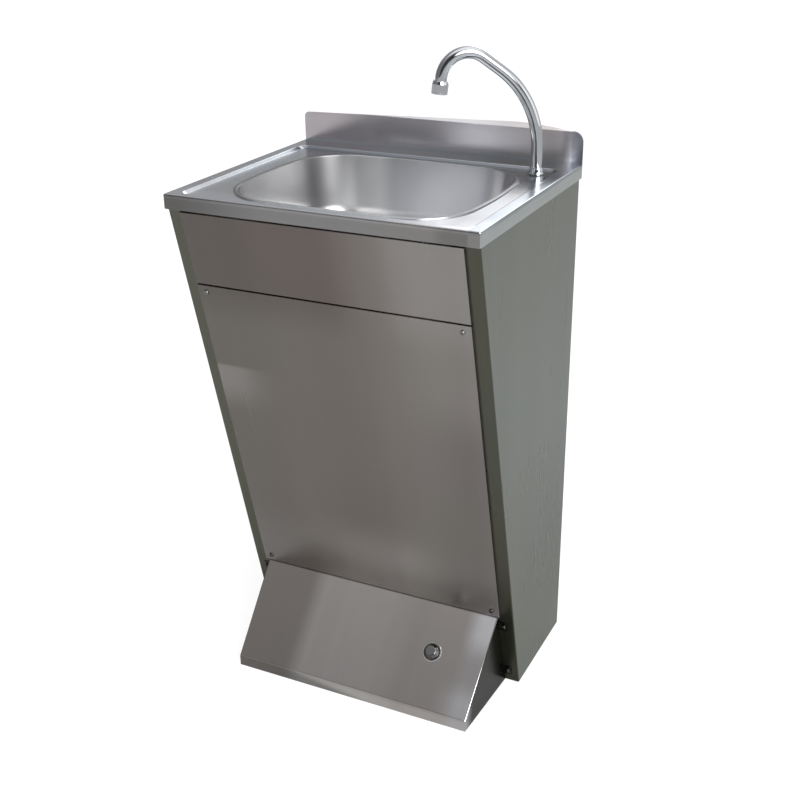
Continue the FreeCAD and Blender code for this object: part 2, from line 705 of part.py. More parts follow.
def side_panel_right():
    """Sloping side panel with flanges turned in all round."""
    body = sheet_yz(side_outline(0.0), SIDE_X - FLANGE_WIDTH, SIDE_X)

    def outer_edge(b):
        return b.XMin > SIDE_X - 0.01 and b.ZMin < RIM_UNDERSIDE - 1 and b.ZMax > 1

    body = rounded(body, PANEL_BEND_RADIUS, outer_edge)
    hollow = sheet_yz(side_outline(SHEET), SIDE_X - FLANGE_WIDTH - 1, SIDE_INNER_X)
    body = body.cut(hollow)
    notch_x = SIDE_X - TOP_FLANGE_WIDTH
    corners = side_outline(SHEET)
    notch = box(SIDE_X - FLANGE_WIDTH - 1, notch_x, corners[0][0], SIDE_REAR_Y - SHEET,
                RIM_UNDERSIDE - RECESS_DEPTH - 2 * SHEET, RIM_UNDERSIDE + 1)
    body = body.cut(notch)
    cutters = []
    for x, v in screw_places() + tab_places():
        if x > 0:
            hole = cylinder(RIVET_NUT_RADIUS + THREAD_CLEARANCE, -2 * SHEET, SHEET, x, v)
            cutters.append(moved(hole, FRONT_PLANE))
    for x, v in stud_places():
        if x > 0:
            hole = cylinder(FASCIA_STUD_RADIUS + HOLE_CLEARANCE, -2 * SHEET, SHEET, x, v)
            cutters.append(moved(hole, FRONT_PLANE))
    for x, z in rail_screw_places():
        if x > 0:
            hole = cylinder(BOLT_RADIUS + HOLE_CLEARANCE, -2 * SHEET, SHEET)
            cutters.append(moved(hole, aimed(V(x, SIDE_REAR_Y, z), V(0, 1, 0))))
    for x, y in anchor_places():
        cutters.append(cylinder(ANCHOR_HOLE_RADIUS, -1, 2 * SHEET, x, y))
    return body.cut(cutters)


def worktop_brackets():
    """Angle brackets welded to the side panels, under the deck."""
    solids = []
    hole = bracket_stud_x()
    for side, y in bracket_places():
        y0 = y - BRACKET_WIDTH / 2
        y1 = y + BRACKET_WIDTH / 2
        level_leg = box(SIDE_INNER_X - BRACKET_LEG, SIDE_INNER_X, y0, y1, DECK_UNDERSIDE - BRACKET_SHEET, DECK_UNDERSIDE)
        drop = DECK_UNDERSIDE - BRACKET_DROP
        upright = box(SIDE_INNER_X - BRACKET_SHEET, SIDE_INNER_X, y0, y1, drop, DECK_UNDERSIDE)
        angle = fused([level_leg, upright])
        angle = angle.cut(cylinder(BOLT_RADIUS + HOLE_CLEARANCE, drop, DECK_UNDERSIDE + 1, hole, y))
        solids.append(angle if side > 0 else mirrored(angle))
    return group(solids)


def hex_nut(z0, z1, radius, flats):
    """A hexagonal nut on Z between two heights."""
    return hexagon(flats, z0, z1).cut(cylinder(radius + THREAD_CLEARANCE, z0 - 1, z1 + 1))


def worktop_nuts():
    """Nuts on the worktop's studs, under the brackets."""
    top = DECK_UNDERSIDE - BRACKET_SHEET
    solids = []
    for side, y in bracket_places():
        nut = hex_nut(top - NUT_HEIGHT, top, BOLT_RADIUS, BOLT_HEAD_FLATS)
        solids.append(moved(nut, at(side * bracket_stud_x(), y, 0)))
    return group(solids)


def tray(v0, v1, open_foot):
    """A panel folded back along its edges, in the front plane's axes."""
    half = PANEL_WIDTH / 2
    outer = box(-half, half, v0, v1, 0, PANEL_PROUD)

    def face_edge(b):
        return level(b, PANEL_PROUD)

    outer = rounded(outer, PANEL_EDGE_RADIUS, face_edge)
    foot = v0 - 1 if open_foot else v0 + PANEL_SHEET
    hollow = box(-half + PANEL_SHEET, half - PANEL_SHEET, foot, v1 - PANEL_SHEET, -1, PANEL_PROUD - PANEL_SHEET)
    return outer.cut(hollow)


def fascia_panel():
    """Upper front panel with its welded studs."""
    panel = tray(front_v(FASCIA_BOTTOM), front_v(FASCIA_TOP), False)
    top = PANEL_PROUD - PANEL_SHEET / 2
    studs = [cylinder(FASCIA_STUD_RADIUS, -FASCIA_STUD_REACH, top, x, v) for x, v in stud_places()]
    return moved(fused([panel] + studs), FRONT_PLANE)


def fascia_nuts():
    """Nuts on the fascia's studs, behind the side panels' front flanges."""
    nut = hex_nut(-SHEET - NUT_HEIGHT, -SHEET, FASCIA_STUD_RADIUS, BOLT_HEAD_FLATS)
    solids = [moved(nut, FRONT_PLANE.multiply(at(x, v, 0))) for x, v in stud_places()]
    return group(solids)


def access_panel():
    """Lower front panel, screwed on at its corners."""
    panel = tray(front_v(ACCESS_BOTTOM), front_v(ACCESS_TOP), True)
    holes = []
    for x, v in screw_places():
        holes.append(cylinder(SCREW_RADIUS + HOLE_CLEARANCE, 0, PANEL_PROUD + 1, x, v))
    return moved(panel.cut(holes), FRONT_PLANE)


def pan_screw(seat, length):
    """A cross-head screw whose head rests at height seat on Z, pointing down."""
    head = cylinder(SCREW_HEAD_RADIUS, seat, seat + SCREW_HEAD_HEIGHT)
    head = rounded(head, SCREW_HEAD_HEIGHT * 0.6, lambda b: level(b, seat + SCREW_HEAD_HEIGHT))
    screw = head.fuse(cylinder(SCREW_RADIUS, seat - length, seat))
    arm = SCREW_HEAD_RADIUS * 0.6
    half = SCREW_HEAD_RADIUS * 0.1
    depth = seat + SCREW_HEAD_HEIGHT * 0.4
    top = seat + SCREW_HEAD_HEIGHT + 1
    cross = box(-arm, arm, -half, half, depth, top).fuse(box(-half, half, -arm, arm, depth, top))
    return screw.cut(cross)


def access_panel_screws():
    """Cross-head screws in the access panel's corners."""
    screw = pan_screw(PANEL_PROUD, SCREW_LENGTH)
    return group([moved(screw, FRONT_PLANE.multiply(at(x, v, 0))) for x, v in screw_places()])


def rivet_nut():
    """A blind rivet nut set in the front flange, on Z."""
    barrel = cylinder(RIVET_NUT_RADIUS, RIVET_NUT_HEAD - RIVET_NUT_LENGTH, RIVET_NUT_HEAD)
    head = cylinder(RIVET_NUT_HEAD_RADIUS, 0, RIVET_NUT_HEAD)
    return barrel.fuse(head).cut(cylinder(SCREW_RADIUS + THREAD_CLEARANCE, -RIVET_NUT_LENGTH - 1, RIVET_NUT_LENGTH))


def panel_rivet_nuts():
    """Rivet nuts for the access panel's screws."""
    return group([moved(rivet_nut(), FRONT_PLANE.multiply(at(x, v, 0))) for x, v in screw_places()])


def kick_half_width(y):
    """Half the kick plate's width at y: it widens towards the cabinet."""
    run = slope_y(KICK_TOP) - KICK_LIP_Y
    widening = (KICK_WIDTH_TOP - KICK_WIDTH_FOOT) / 2 / run
    return KICK_WIDTH_FOOT / 2 + (y - KICK_LIP_Y) * widening


def kick_plan(inset, y0, y1):
    """The kick plate's tapered plan, inset at the sides, as a tall block."""
    low = kick_half_width(y0) - inset
    high = kick_half_width(y1) - inset
    points = [V(-low, y0, -5), V(low, y0, -5), V(high, y1, -5), V(-high, y1, -5)]
    face = Part.Face(Part.makePolygon(points + points[:1]))
    return face.extrude(V(0, 0, KICK_TOP + 20))


def kick_plate():
    """Sloping foot wedge with a front lip, closed cheeks, an upper flange and fixing tabs."""
    half = WORKTOP_WIDTH / 2
    front = KICK_LIP_Y
    rear = SLOPE_FOOT_Y
    outline = [(front, 0), (front, KICK_LIP_HEIGHT), (slope_y(KICK_TOP), KICK_TOP), (rear, 0)]
    outer = sheet_yz(outline, -half, half).common(kick_plan(0.0, front, rear + 1))

    def bend(b):
        flat_lip = level(b, KICK_LIP_HEIGHT)
        ramp = b.ZMin > KICK_LIP_HEIGHT - 0.1 and b.ZMax > KICK_TOP - 0.1 and b.XLength < half and b.ZLength > 10
        return flat_lip or ramp

    outer = rounded(outer, KICK_BEND_RADIUS, bend)
    angle = math.radians(KICK_ANGLE)
    drop = SHEET / math.cos(angle)
    inner_front = front + SHEET
    past = rear + 20
    inner_top = KICK_LIP_HEIGHT - drop + (inner_front - front) * math.tan(angle)
    inner_end = KICK_LIP_HEIGHT - drop + (past - front) * math.tan(angle)
    inner = sheet_yz([(inner_front, -1), (inner_front, inner_top), (past, inner_end), (past, -1)], -half, half)
    inner = inner.common(kick_plan(SHEET, front, past))
    shell = outer.cut(inner)
    top_v = front_v(KICK_TOP)
    flange = box(-KICK_FLANGE_WIDTH / 2, KICK_FLANGE_WIDTH / 2, top_v - SHEET, top_v + KICK_FLANGE_HEIGHT, 0, SHEET)
    pieces = [shell, moved(flange, FRONT_PLANE)]
    reach = tab_screw_x() + TAB_WASHER_RADIUS + TAB_EDGE
    for z in (TAB_LOWER, TAB_UPPER):
        root = kick_half_width(slope_y(z)) - SHEET / 2
        tab = box(root, reach, front_v(z) - TAB_HEIGHT / 2, front_v(z) + TAB_HEIGHT / 2, 0, SHEET)
        tab = rounded(tab, TAB_HEIGHT / 5, lambda b: b.ZLength > SHEET / 2 and b.XMin > reach - 0.01)
        pieces.append(moved(tab, FRONT_PLANE))
        pieces.append(mirrored(moved(tab, FRONT_PLANE)))
    plate = fused(pieces)
    holes = []
    for x, v in tab_places():
        holes.append(moved(cylinder(RIVET_NUT_HEAD_RADIUS + HOLE_CLEARANCE, -1, SHEET + 1, x, v), FRONT_PLANE))
    neck = cylinder(VALVE_NECK_RADIUS + VALVE_HOLE_CLEARANCE, -SHEET * 2, SHEET)
    holes.append(moved(neck, VALVE_AXIS))
    return plate.cut(holes)


def kick_plate_washers():
    """Wide washers over the tabs' holes, under the screws."""
    washer = ring(TAB_WASHER_RADIUS, SCREW_RADIUS + HOLE_CLEARANCE, SHEET, SHEET + 1)
    return group([moved(washer, FRONT_PLANE.multiply(at(x, v, 0))) for x, v in tab_places()])


def kick_plate_screws():
    """Screws that hold the kick plate's tabs to the front flanges."""
    screw = pan_screw(SHEET + 1, SCREW_LENGTH - PANEL_PROUD)
    return group([moved(screw, FRONT_PLANE.multiply(at(x, v, 0))) for x, v in tab_places()])


def kick_rivet_nuts():
    """Rivet nuts for the kick plate's screws."""
    return group([moved(rivet_nut(), FRONT_PLANE.multiply(at(x, v, 0))) for x, v in tab_places()])


def rear_rail(middle):
    """A rear cross rail with lips turned in, held between the rear flanges."""
    half = SIDE_INNER_X - RAIL_END_GAP
    rear = SIDE_REAR_Y - SHEET
    low = middle - RAIL_HEIGHT / 2
    high = middle + RAIL_HEIGHT / 2
    plate = box(-half, half, rear - SHEET, rear, low, high)
    upper = box(-half, half, rear - RAIL_LIP, rear, high - SHEET, high)
    lower = box(-half, half, rear - RAIL_LIP, rear, low, low + SHEET)
    rail = fused([plate, upper, lower])
    holes = []
    for x, z in rail_screw_places():
        hole = cylinder(BOLT_RADIUS + HOLE_CLEARANCE, -4 * SHEET, SHEET)
        holes.append(moved(hole, aimed(V(x, rear, z), V(0, 1, 0))))
    return rail.cut(holes)


def rear_rail_upper():
    """Upper rail with two slots that hang the sink on a wall."""
    rail = rear_rail(RAIL_UPPER_MIDDLE)
    rear = SIDE_REAR_Y - SHEET
    slots = []
    for side in (-1, 1):
        x = side * WALL_SLOT_SPACING / 2
        run = WALL_SLOT_LENGTH / 2 - WALL_SLOT_RADIUS
        middle = box(x - run, x + run, rear - 2 * SHEET, rear + 1,
                     RAIL_UPPER_MIDDLE - WALL_SLOT_RADIUS, RAIL_UPPER_MIDDLE + WALL_SLOT_RADIUS)
        slots.append(middle)
        for end in (x - run, x + run):
            hole = cylinder(WALL_SLOT_RADIUS, -2 * SHEET, 1)
            slots.append(moved(hole, aimed(V(end, rear, RAIL_UPPER_MIDDLE), V(0, 1, 0))))
    return rail.cut(slots)


def rear_rail_lower():
    """Lower rail that carries the water inlet's union."""
    rail = rear_rail(RAIL_LOWER_MIDDLE)
    rear = SIDE_REAR_Y - SHEET
    hole = cylinder(UNION_BODY_RADIUS + HOLE_CLEARANCE, -2 * SHEET, 1)
    return rail.cut(moved(hole, aimed(V(SUPPLY_X, rear, inlet_level()), V(0, 1, 0))))


def rear_rail_screws():
    """Hexagon screws through the rear flanges into the rails."""
    screw = hexagon(BOLT_HEAD_FLATS, 0, BOLT_HEAD_HEIGHT).fuse(cylinder(BOLT_RADIUS, -BOLT_LENGTH, 0))
    return group([moved(screw, aimed(V(x, SIDE_REAR_Y, z), V(0, 1, 0))) for x, z in rail_screw_places()])


def rear_rail_nuts():
    """Nuts behind the rails."""
    face = -2 * SHEET
    nut = hex_nut(face - NUT_HEIGHT, face, BOLT_RADIUS, BOLT_HEAD_FLATS)
    return group([moved(nut, aimed(V(x, SIDE_REAR_Y, z), V(0, 1, 0))) for x, z in rail_screw_places()])


# ---------------------------------------------------------------- spout

def spout_direction():
    """The level direction in which the neck reaches out over the bowl."""
    return V(-math.cos(math.radians(SPOUT_AIM)), -math.sin(math.radians(SPOUT_AIM)), 0)


def neck_point(reach, z):
    """A point over the spout's own line, reach out from its foot."""
    return V(SPOUT_X, SPOUT_Y, z) + spout_direction() * reach


def neck_turn():
    """How far the neck turns from upright to its leaning tip, in radians."""
    return math.radians(180 - SPOUT_LEAN)


def tip_direction():
    """The way out of the neck's tip: down, and a little outwards."""
    turn = neck_turn()
    return spout_direction() * math.sin(turn) + V(0, 0, math.cos(turn))


def neck_end():
    """The tip of the neck's centre line."""
    angle = math.radians(SPOUT_FIRST_ANGLE)
    turn = neck_turn()
    reach = SPOUT_FIRST_RADIUS * (1 - math.cos(angle)) + SPOUT_STRAIGHT * math.sin(angle)
    reach = reach + SPOUT_SECOND_RADIUS * (math.cos(angle) - math.cos(turn))
    rise = SPOUT_FIRST_RADIUS * math.sin(angle) + SPOUT_STRAIGHT * math.cos(angle)
    rise = rise + SPOUT_SECOND_RADIUS * (math.sin(turn) - math.sin(angle))
    return neck_point(reach, SPOUT_BEND_START + rise) + tip_direction() * SPOUT_DROP


def neck_path(foot):
    """The neck's centre line from its foot to its tip."""
    first = SPOUT_FIRST_RADIUS
    second = SPOUT_SECOND_RADIUS
    angle = math.radians(SPOUT_FIRST_ANGLE)
    last = neck_turn()

    def first_bend(turn):
        return neck_point(first * (1 - math.cos(turn)), SPOUT_BEND_START + first * math.sin(turn))

    start_reach = first * (1 - math.cos(angle)) + SPOUT_STRAIGHT * math.sin(angle)
    start_height = SPOUT_BEND_START + first * math.sin(angle) + SPOUT_STRAIGHT * math.cos(angle)
    centre_reach = start_reach + second * math.cos(angle)
    centre_height = start_height - second * math.sin(angle)

    def second_bend(turn):
        return neck_point(centre_reach - second * math.cos(turn), centre_height + second * math.sin(turn))

    edges = [
        Part.LineSegment(neck_point(0, foot), neck_point(0, SPOUT_BEND_START)).toShape(),
        Part.Arc(first_bend(0), first_bend(angle / 2), first_bend(angle)).toShape(),
        Part.LineSegment(first_bend(angle), second_bend(angle)).toShape(),
        Part.Arc(second_bend(angle), second_bend((angle + last) / 2), second_bend(last)).toShape(),
        Part.LineSegment(second_bend(last), neck_end()).toShape(),
    ]
    return Part.Wire(edges)


SPOUT_SEAT_Z = DECK_Z + SPOUT_GASKET
SPOUT_TOP_Z = SPOUT_SEAT_Z + SPOUT_BASE_HEIGHT
SPOUT_SHANK_END_Z = SPOUT_SEAT_Z - SPOUT_SHANK_LENGTH
SPOUT_SOCKET_Z = SPOUT_TOP_Z - SPOUT_SOCKET_DEPTH
GRUB_Z = SPOUT_SEAT_Z + SPOUT_BASE_HEIGHT / 2


def oring_heights():
    """Heights of the spout's two O-rings."""
    foot = SPOUT_SOCKET_Z + 1
    return [foot + 6, foot + 13]


def oring_groove_radius():
    """The radius at the bottom of the O-ring grooves."""
    return SPOUT_TUBE_RADIUS - 2 * ORING_SECTION_RADIUS - ORING_GAP


def swivel_groove():
    """The groove for the retaining screw's tip, only as long as the neck may swivel."""
    low = SPOUT_TUBE_RADIUS - GRUB_GROOVE_DEPTH
    high = SPOUT_TUBE_RADIUS + 1
    half = GRUB_RADIUS + 0.3
    corners = [V(low, 0, -half), V(high, 0, -half), V(high, 0, half), V(low, 0, half)]
    sweep = SWIVEL_BACK + SWIVEL_FRONT + 2 * SWIVEL_STOP_MARGIN
    face = Part.Face(Part.makePolygon(corners + corners[:1]))
    arc = face.revolve(V(0, 0, 0), V(0, 0, 1), sweep)
    start = GRUB_BEARING - SWIVEL_FRONT - SWIVEL_STOP_MARGIN
    return moved(arc, Placement(V(SPOUT_X, SPOUT_Y, GRUB_Z), Rotation(V(0, 0, 1), start)))


def spout_tube():
    """Swan neck tube with grooves for its O-rings and retaining screw, and a threaded nose."""
    foot = SPOUT_SOCKET_Z + 1
    tube = pipe_along(neck_path(foot), SPOUT_TUBE_RADIUS, SPOUT_BORE_RADIUS)
    sleeve = ring(SPOUT_BORE_RADIUS + 0.5, PIPE_BORE_RADIUS, foot, oring_heights()[1] + 5, SPOUT_X, SPOUT_Y)
    nose = ring(SPOUT_NOSE_RADIUS, SPOUT_BORE_RADIUS, 0, SPOUT_NOSE_LENGTH)
    nose = moved(nose, aimed(neck_end(), tip_direction() * -1))
    tube = fused([tube, sleeve, nose])
    cutters = []
    for z in oring_heights():
        half = ORING_SECTION_RADIUS + 0.1
        cutters.append(ring(SPOUT_TUBE_RADIUS + 1, oring_groove_radius(), z - half, z + half, SPOUT_X, SPOUT_Y))
    cutters.append(swivel_groove())
    return tube.cut(cutters)


def spout_orings():
    """O-rings that seal the neck in its base."""
    radius = SPOUT_TUBE_RADIUS - ORING_SECTION_RADIUS
    solids = [Part.makeTorus(radius, ORING_SECTION_RADIUS, V(SPOUT_X, SPOUT_Y, z)) for z in oring_heights()]
    return group(solids)


def spout_base():
    """Chromed base: a low collar over the deck and a threaded shank below it."""
    profile = [
        (0, SPOUT_SHANK_END_Z),
        (THREAD_RADIUS, SPOUT_SHANK_END_Z),
        (THREAD_RADIUS, SPOUT_SEAT_Z),
        (SPOUT_BASE_RADIUS, SPOUT_SEAT_Z),
        (SPOUT_BASE_RADIUS, SPOUT_SEAT_Z + 2),
        (SPOUT_BASE_RADIUS - SPOUT_BASE_FLARE, SPOUT_SEAT_Z + 4),
        (SPOUT_BASE_RADIUS - SPOUT_BASE_FLARE, SPOUT_TOP_Z - 1),
        (SPOUT_BASE_RADIUS - SPOUT_BASE_FLARE - 1, SPOUT_TOP_Z),
        (0, SPOUT_TOP_Z),
    ]
    solid = moved(turned(profile), at(SPOUT_X, SPOUT_Y, 0))
    bores = [
        cylinder(SPOUT_TUBE_RADIUS + SPOUT_FIT, SPOUT_SOCKET_Z, SPOUT_TOP_Z + 1, SPOUT_X, SPOUT_Y),
        cylinder(PIPE_BORE_RADIUS, SPOUT_SHANK_END_Z - 1, SPOUT_TOP_Z, SPOUT_X, SPOUT_Y),
        cylinder(PIPE_RADIUS + PIPE_CLEARANCE, SPOUT_SHANK_END_Z - 1, SPOUT_SHANK_END_Z + PIPE_SOCKET_DEPTH,
                 SPOUT_X, SPOUT_Y),
        moved(cylinder(GRUB_RADIUS + THREAD_CLEARANCE, 0, SPOUT_BASE_RADIUS + 1), grub_place()),
    ]
    return solid.cut(bores)


def grub_place():
    """The retaining screw's axis, from the neck's middle out to the rear."""
    bearing = math.radians(GRUB_BEARING)
    return aimed(V(SPOUT_X, SPOUT_Y, GRUB_Z), V(math.cos(bearing), math.sin(bearing), 0))


def spout_retaining_screw():
    """Grub screw in the base whose tip runs in the neck's groove."""
    start = SPOUT_TUBE_RADIUS - GRUB_GROOVE_DEPTH + GRUB_TIP_GAP
    screw = cylinder(GRUB_RADIUS, start, SPOUT_BASE_RADIUS - 2)
    socket = hexagon(GRUB_RADIUS, SPOUT_BASE_RADIUS - 3, SPOUT_BASE_RADIUS)
    return moved(screw.cut(socket), grub_place())


def spout_gasket():
    """Rubber ring between the spout's base and the deck."""
    return ring(SPOUT_BASE_RADIUS - 0.3, THREAD_RADIUS + THREAD_CLEARANCE, DECK_Z, SPOUT_SEAT_Z, SPOUT_X, SPOUT_Y)


def spout_lock_washer():
    """Wide washer under the deck."""
    top = DECK_UNDERSIDE
    outer = LOCKNUT_FLATS / 2 + 1
    return ring(outer, THREAD_RADIUS + THREAD_CLEARANCE, top - WASHER_THICKNESS, top, SPOUT_X, SPOUT_Y)


def spout_locknut():
    """Nut that draws the spout's base down on the deck."""
    top = DECK_UNDERSIDE - WASHER_THICKNESS
    return moved(hex_nut(top - LOCKNUT_HEIGHT, top, THREAD_RADIUS, LOCKNUT_FLATS), at(SPOUT_X, SPOUT_Y, 0))


def aerator_place():
    """The aerator's axes: Z back along the neck's tip, with its foot at zero."""
    below = AERATOR_LIP + AERATOR_INSERT_HEIGHT + AERATOR_WASHER_HEIGHT
    return aimed(neck_end() + tip_direction() * below, tip_direction() * -1)


def aerator_housing():
    """Ribbed chrome sleeve screwed on the neck's nose."""
    bore = SPOUT_NOSE_RADIUS + THREAD_CLEARANCE
    profile = [
        (bore, AERATOR_LIP),
        (bore - AERATOR_LIP, AERATOR_LIP),
        (bore - AERATOR_LIP, 0),
        (AERATOR_RADIUS - 0.6, 0),
        (AERATOR_RADIUS, 0.8),
        (AERATOR_RADIUS, AERATOR_LENGTH - 4),
        (AERATOR_RADIUS - 0.5, AERATOR_LENGTH - 3),
        (AERATOR_RADIUS - 1.2, AERATOR_LENGTH),
        (bore, AERATOR_LENGTH),
    ]
    sleeve = turned(profile)
    grooves = []
    for index in range(AERATOR_GRIP_GROOVES):
        angle = 2 * math.pi * index / AERATOR_GRIP_GROOVES
        x = (AERATOR_RADIUS + 0.2) * math.cos(angle)
        y = (AERATOR_RADIUS + 0.2) * math.sin(angle)
        grooves.append(cylinder(AERATOR_GROOVE_RADIUS, 2.2, AERATOR_LENGTH - 5, x, y))
    return moved(sleeve.cut(grooves), aerator_place())


def aerator_insert():
    """Plastic flow insert with a honeycomb of holes."""
    radius = SPOUT_NOSE_RADIUS - 0.1
    disc = cylinder(radius, AERATOR_LIP, AERATOR_LIP + AERATOR_INSERT_HEIGHT)
    holes = []
    for circle, count in ((3.0, 6), (6.0, 12)):
        for index in range(count):
            angle = 2 * math.pi * index / count
            x = circle * math.cos(angle)
            y = circle * math.sin(angle)
            holes.append(cylinder(1.0, 0, AERATOR_INSERT_HEIGHT + 2, x, y))
    return moved(disc.cut(holes), aerator_place())


def aerator_washer():
    """Rubber washer between the insert and the neck's nose."""
    base = AERATOR_LIP + AERATOR_INSERT_HEIGHT
    washer = ring(SPOUT_NOSE_RADIUS - 0.1, SPOUT_BORE_RADIUS, base, base + AERATOR_WASHER_HEIGHT)
    return moved(washer, aerator_place())


# ---------------------------------------------------------------- foot valve

def wiper_groove():
    """Radii and depth of the button's wiper ring, as (inner, outer, low, high)."""
    return BUTTON_RADIUS + WIPER_GAP, WIPER_RADIUS, VALVE_RIM_HEIGHT - WIPER_DEPTH, VALVE_RIM_HEIGHT - 0.4


def valve_stub(depth, direction):
    """A threaded pipe stub on the valve's side, in the valve's axes."""
    start = V(0, 0, -depth)
    stub = Part.makeCylinder(THREAD_RADIUS, STUB_LENGTH, start, direction)
    bore = Part.makeCylinder(PORT_RADIUS, STUB_LENGTH + 1, start, direction)
    mouth = start + direction * (STUB_LENGTH - PIPE_SOCKET_DEPTH)
    socket = Part.makeCylinder(PIPE_RADIUS + PIPE_CLEARANCE, PIPE_SOCKET_DEPTH + 1, mouth, direction)
    return stub, bore.fuse(socket)


def outlet_axis():
    """The way the valve's outlet points, in the valve's axes: up the slope."""
    return V(0, 1, 0)


def inlet_axis():
    """The way the valve's inlet points, in the valve's axes: towards the middle."""
    return V(-1, 0, 0)


def valve_body():
    """Brass body: rim on the kick plate, bored neck, two ports and the valve seat."""
    profile = [
        (0, -VALVE_LENGTH),
        (VALVE_BODY_RADIUS, -VALVE_LENGTH),
        (VALVE_BODY_RADIUS, -VALVE_NECK_LENGTH),
        (VALVE_NECK_RADIUS, -VALVE_NECK_LENGTH),
        (VALVE_NECK_RADIUS, 0),
        (VALVE_RIM_RADIUS, 0),
        (VALVE_RIM_RADIUS, VALVE_RIM_HEIGHT - 0.5),
        (VALVE_RIM_RADIUS - 0.5, VALVE_RIM_HEIGHT),
        (0, VALVE_RIM_HEIGHT),
    ]
    stubs = [valve_stub(OUTLET_PORT_DEPTH, outlet_axis()), valve_stub(INLET_PORT_DEPTH, inlet_axis())]
    solid = fused([turned(profile)] + [stub for stub, bore in stubs])
    _, wiper_radius, wiper_low, _ = wiper_groove()
    guide = VALVE_SPRING_FLOOR + VALVE_GUIDE_LENGTH
    cavities = [bore.cut(cylinder(VALVE_CHAMBER_RADIUS - 0.5, -VALVE_LENGTH, 0)) for stub, bore in stubs]
    cavities += [
        cylinder(BUTTON_RADIUS + BUTTON_FIT, -VALVE_SPRING_FLOOR, VALVE_RIM_HEIGHT + 1),
        cylinder(wiper_radius, wiper_low, VALVE_RIM_HEIGHT + 1),
        cylinder(STEM_RADIUS + BUTTON_FIT, -guide - 1, -VALVE_SPRING_FLOOR + 1),
        cylinder(VALVE_CHAMBER_RADIUS, -VALVE_SEAT_DEPTH, -guide),
        cylinder(VALVE_SEAT_RADIUS, -VALVE_SEAT_DEPTH - VALVE_SEAT_THICKNESS - 1, -VALVE_SEAT_DEPTH + 1),
        cylinder(VALVE_CHAMBER_RADIUS, -VALVE_LENGTH - 1, -VALVE_SEAT_DEPTH - VALVE_SEAT_THICKNESS),
    ]
    return moved(solid.cut(cavities), VALVE_AXIS)


def valve_end_cap():
    """Plug with a flange that closes the valve's lower end."""
    plug = cylinder(VALVE_CHAMBER_RADIUS - THREAD_CLEARANCE, -VALVE_LENGTH, -VALVE_LENGTH + VALVE_CAP_PLUG)
    flange = hexagon(VALVE_BODY_RADIUS * 1.6, -VALVE_LENGTH - VALVE_CAP_THICKNESS, -VALVE_LENGTH)
    return moved(plug.fuse(flange), VALVE_AXIS)


def valve_locknut():
    """Nut that clamps the kick plate against the valve's rim."""
    return moved(hex_nut(-SHEET - VALVE_LOCKNUT_HEIGHT, -SHEET, VALVE_NECK_RADIUS, VALVE_LOCKNUT_FLATS), VALVE_AXIS)


def button_wiper():
    """Rubber ring round the button that keeps water out."""
    inner, outer, low, high = wiper_groove()
    return moved(ring(outer, inner, low, high), VALVE_AXIS)


def foot_button():
    """Chromed push button: flat face, conical flank and a guided skirt."""
    profile = [
        (0, -BUTTON_SKIRT),
        (BUTTON_RADIUS, -BUTTON_SKIRT),
        (BUTTON_RADIUS, BUTTON_SHOULDER),
        (BUTTON_FACE_RADIUS, BUTTON_PROUD),
        (0, BUTTON_PROUD),
    ]
    cap = turned(profile)
    cap = rounded(cap, BUTTON_EDGE_RADIUS, lambda b: level(b, BUTTON_PROUD) or level(b, BUTTON_SHOULDER))
    pocket = ring(BUTTON_RADIUS - 2, STEM_RADIUS + 1.5, -BUTTON_SKIRT - 1, -BUTTON_SKIRT + 1.2)
    thread = cylinder(STEM_RADIUS + THREAD_CLEARANCE, -BUTTON_SKIRT - 1, -BUTTON_SKIRT + 6)
    return moved(cap.cut([pocket, thread]), VALVE_AXIS)


def poppet_top():
    """Height of the poppet seal's upper face at rest, in the valve's axes."""
    return -VALVE_SEAT_DEPTH - VALVE_SEAT_THICKNESS - POPPET_GAP


def valve_stem():
    """Stem screwed in the button, with the poppet's disc at its foot."""
    top = poppet_top()
    disc_top = top - POPPET_SEAL_THICKNESS
    rod = cylinder(STEM_RADIUS, disc_top - POPPET_THICKNESS, -BUTTON_SKIRT + 5.5)
    disc = cylinder(POPPET_RADIUS, disc_top - POPPET_THICKNESS, disc_top)
    return moved(rod.fuse(disc), VALVE_AXIS)


def poppet_seal():
    """Rubber disc that closes the seat from below."""
    top = poppet_top()
    return moved(ring(POPPET_RADIUS, STEM_RADIUS + THREAD_CLEARANCE, top - POPPET_SEAL_THICKNESS, top), VALVE_AXIS)


def valve_spring():
    """Return spring under the button."""
    low = -VALVE_SPRING_FLOOR + SPRING_WIRE_RADIUS + 0.05
    high = -BUTTON_SKIRT - SPRING_WIRE_RADIUS - 0.05
    helix = Part.makeHelix((high - low) / SPRING_TURNS, high - low, SPRING_COIL_RADIUS)
    circle = Part.Circle(V(SPRING_COIL_RADIUS, 0, 0), V(0, 1, 0), SPRING_WIRE_RADIUS)
    coil = Part.Wire(helix).makePipeShell([Part.Wire(circle.toShape())], True, True)
    return moved(coil, VALVE_AXIS.multiply(at(0, 0, low)))


# ---------------------------------------------------------------- pipework

def stub_mouth(depth, direction):
    """The placement at a valve stub's mouth, Z pointing away from the valve."""
    point = VALVE_AXIS.multVec(V(0, 0, -depth) + direction * STUB_LENGTH)
    return aimed(point, VALVE_AXIS.Rotation.multVec(direction))


def inlet_level():
    """Height of the supply pipe, set by the valve's inlet."""
    return stub_mouth(INLET_PORT_DEPTH, inlet_axis()).Base.z


def spout_mouth():
    """The placement at the foot of the spout's shank, Z pointing down."""
    return aimed(V(SPOUT_X, SPOUT_Y, SPOUT_SHANK_END_Z), V(0, 0, -1))


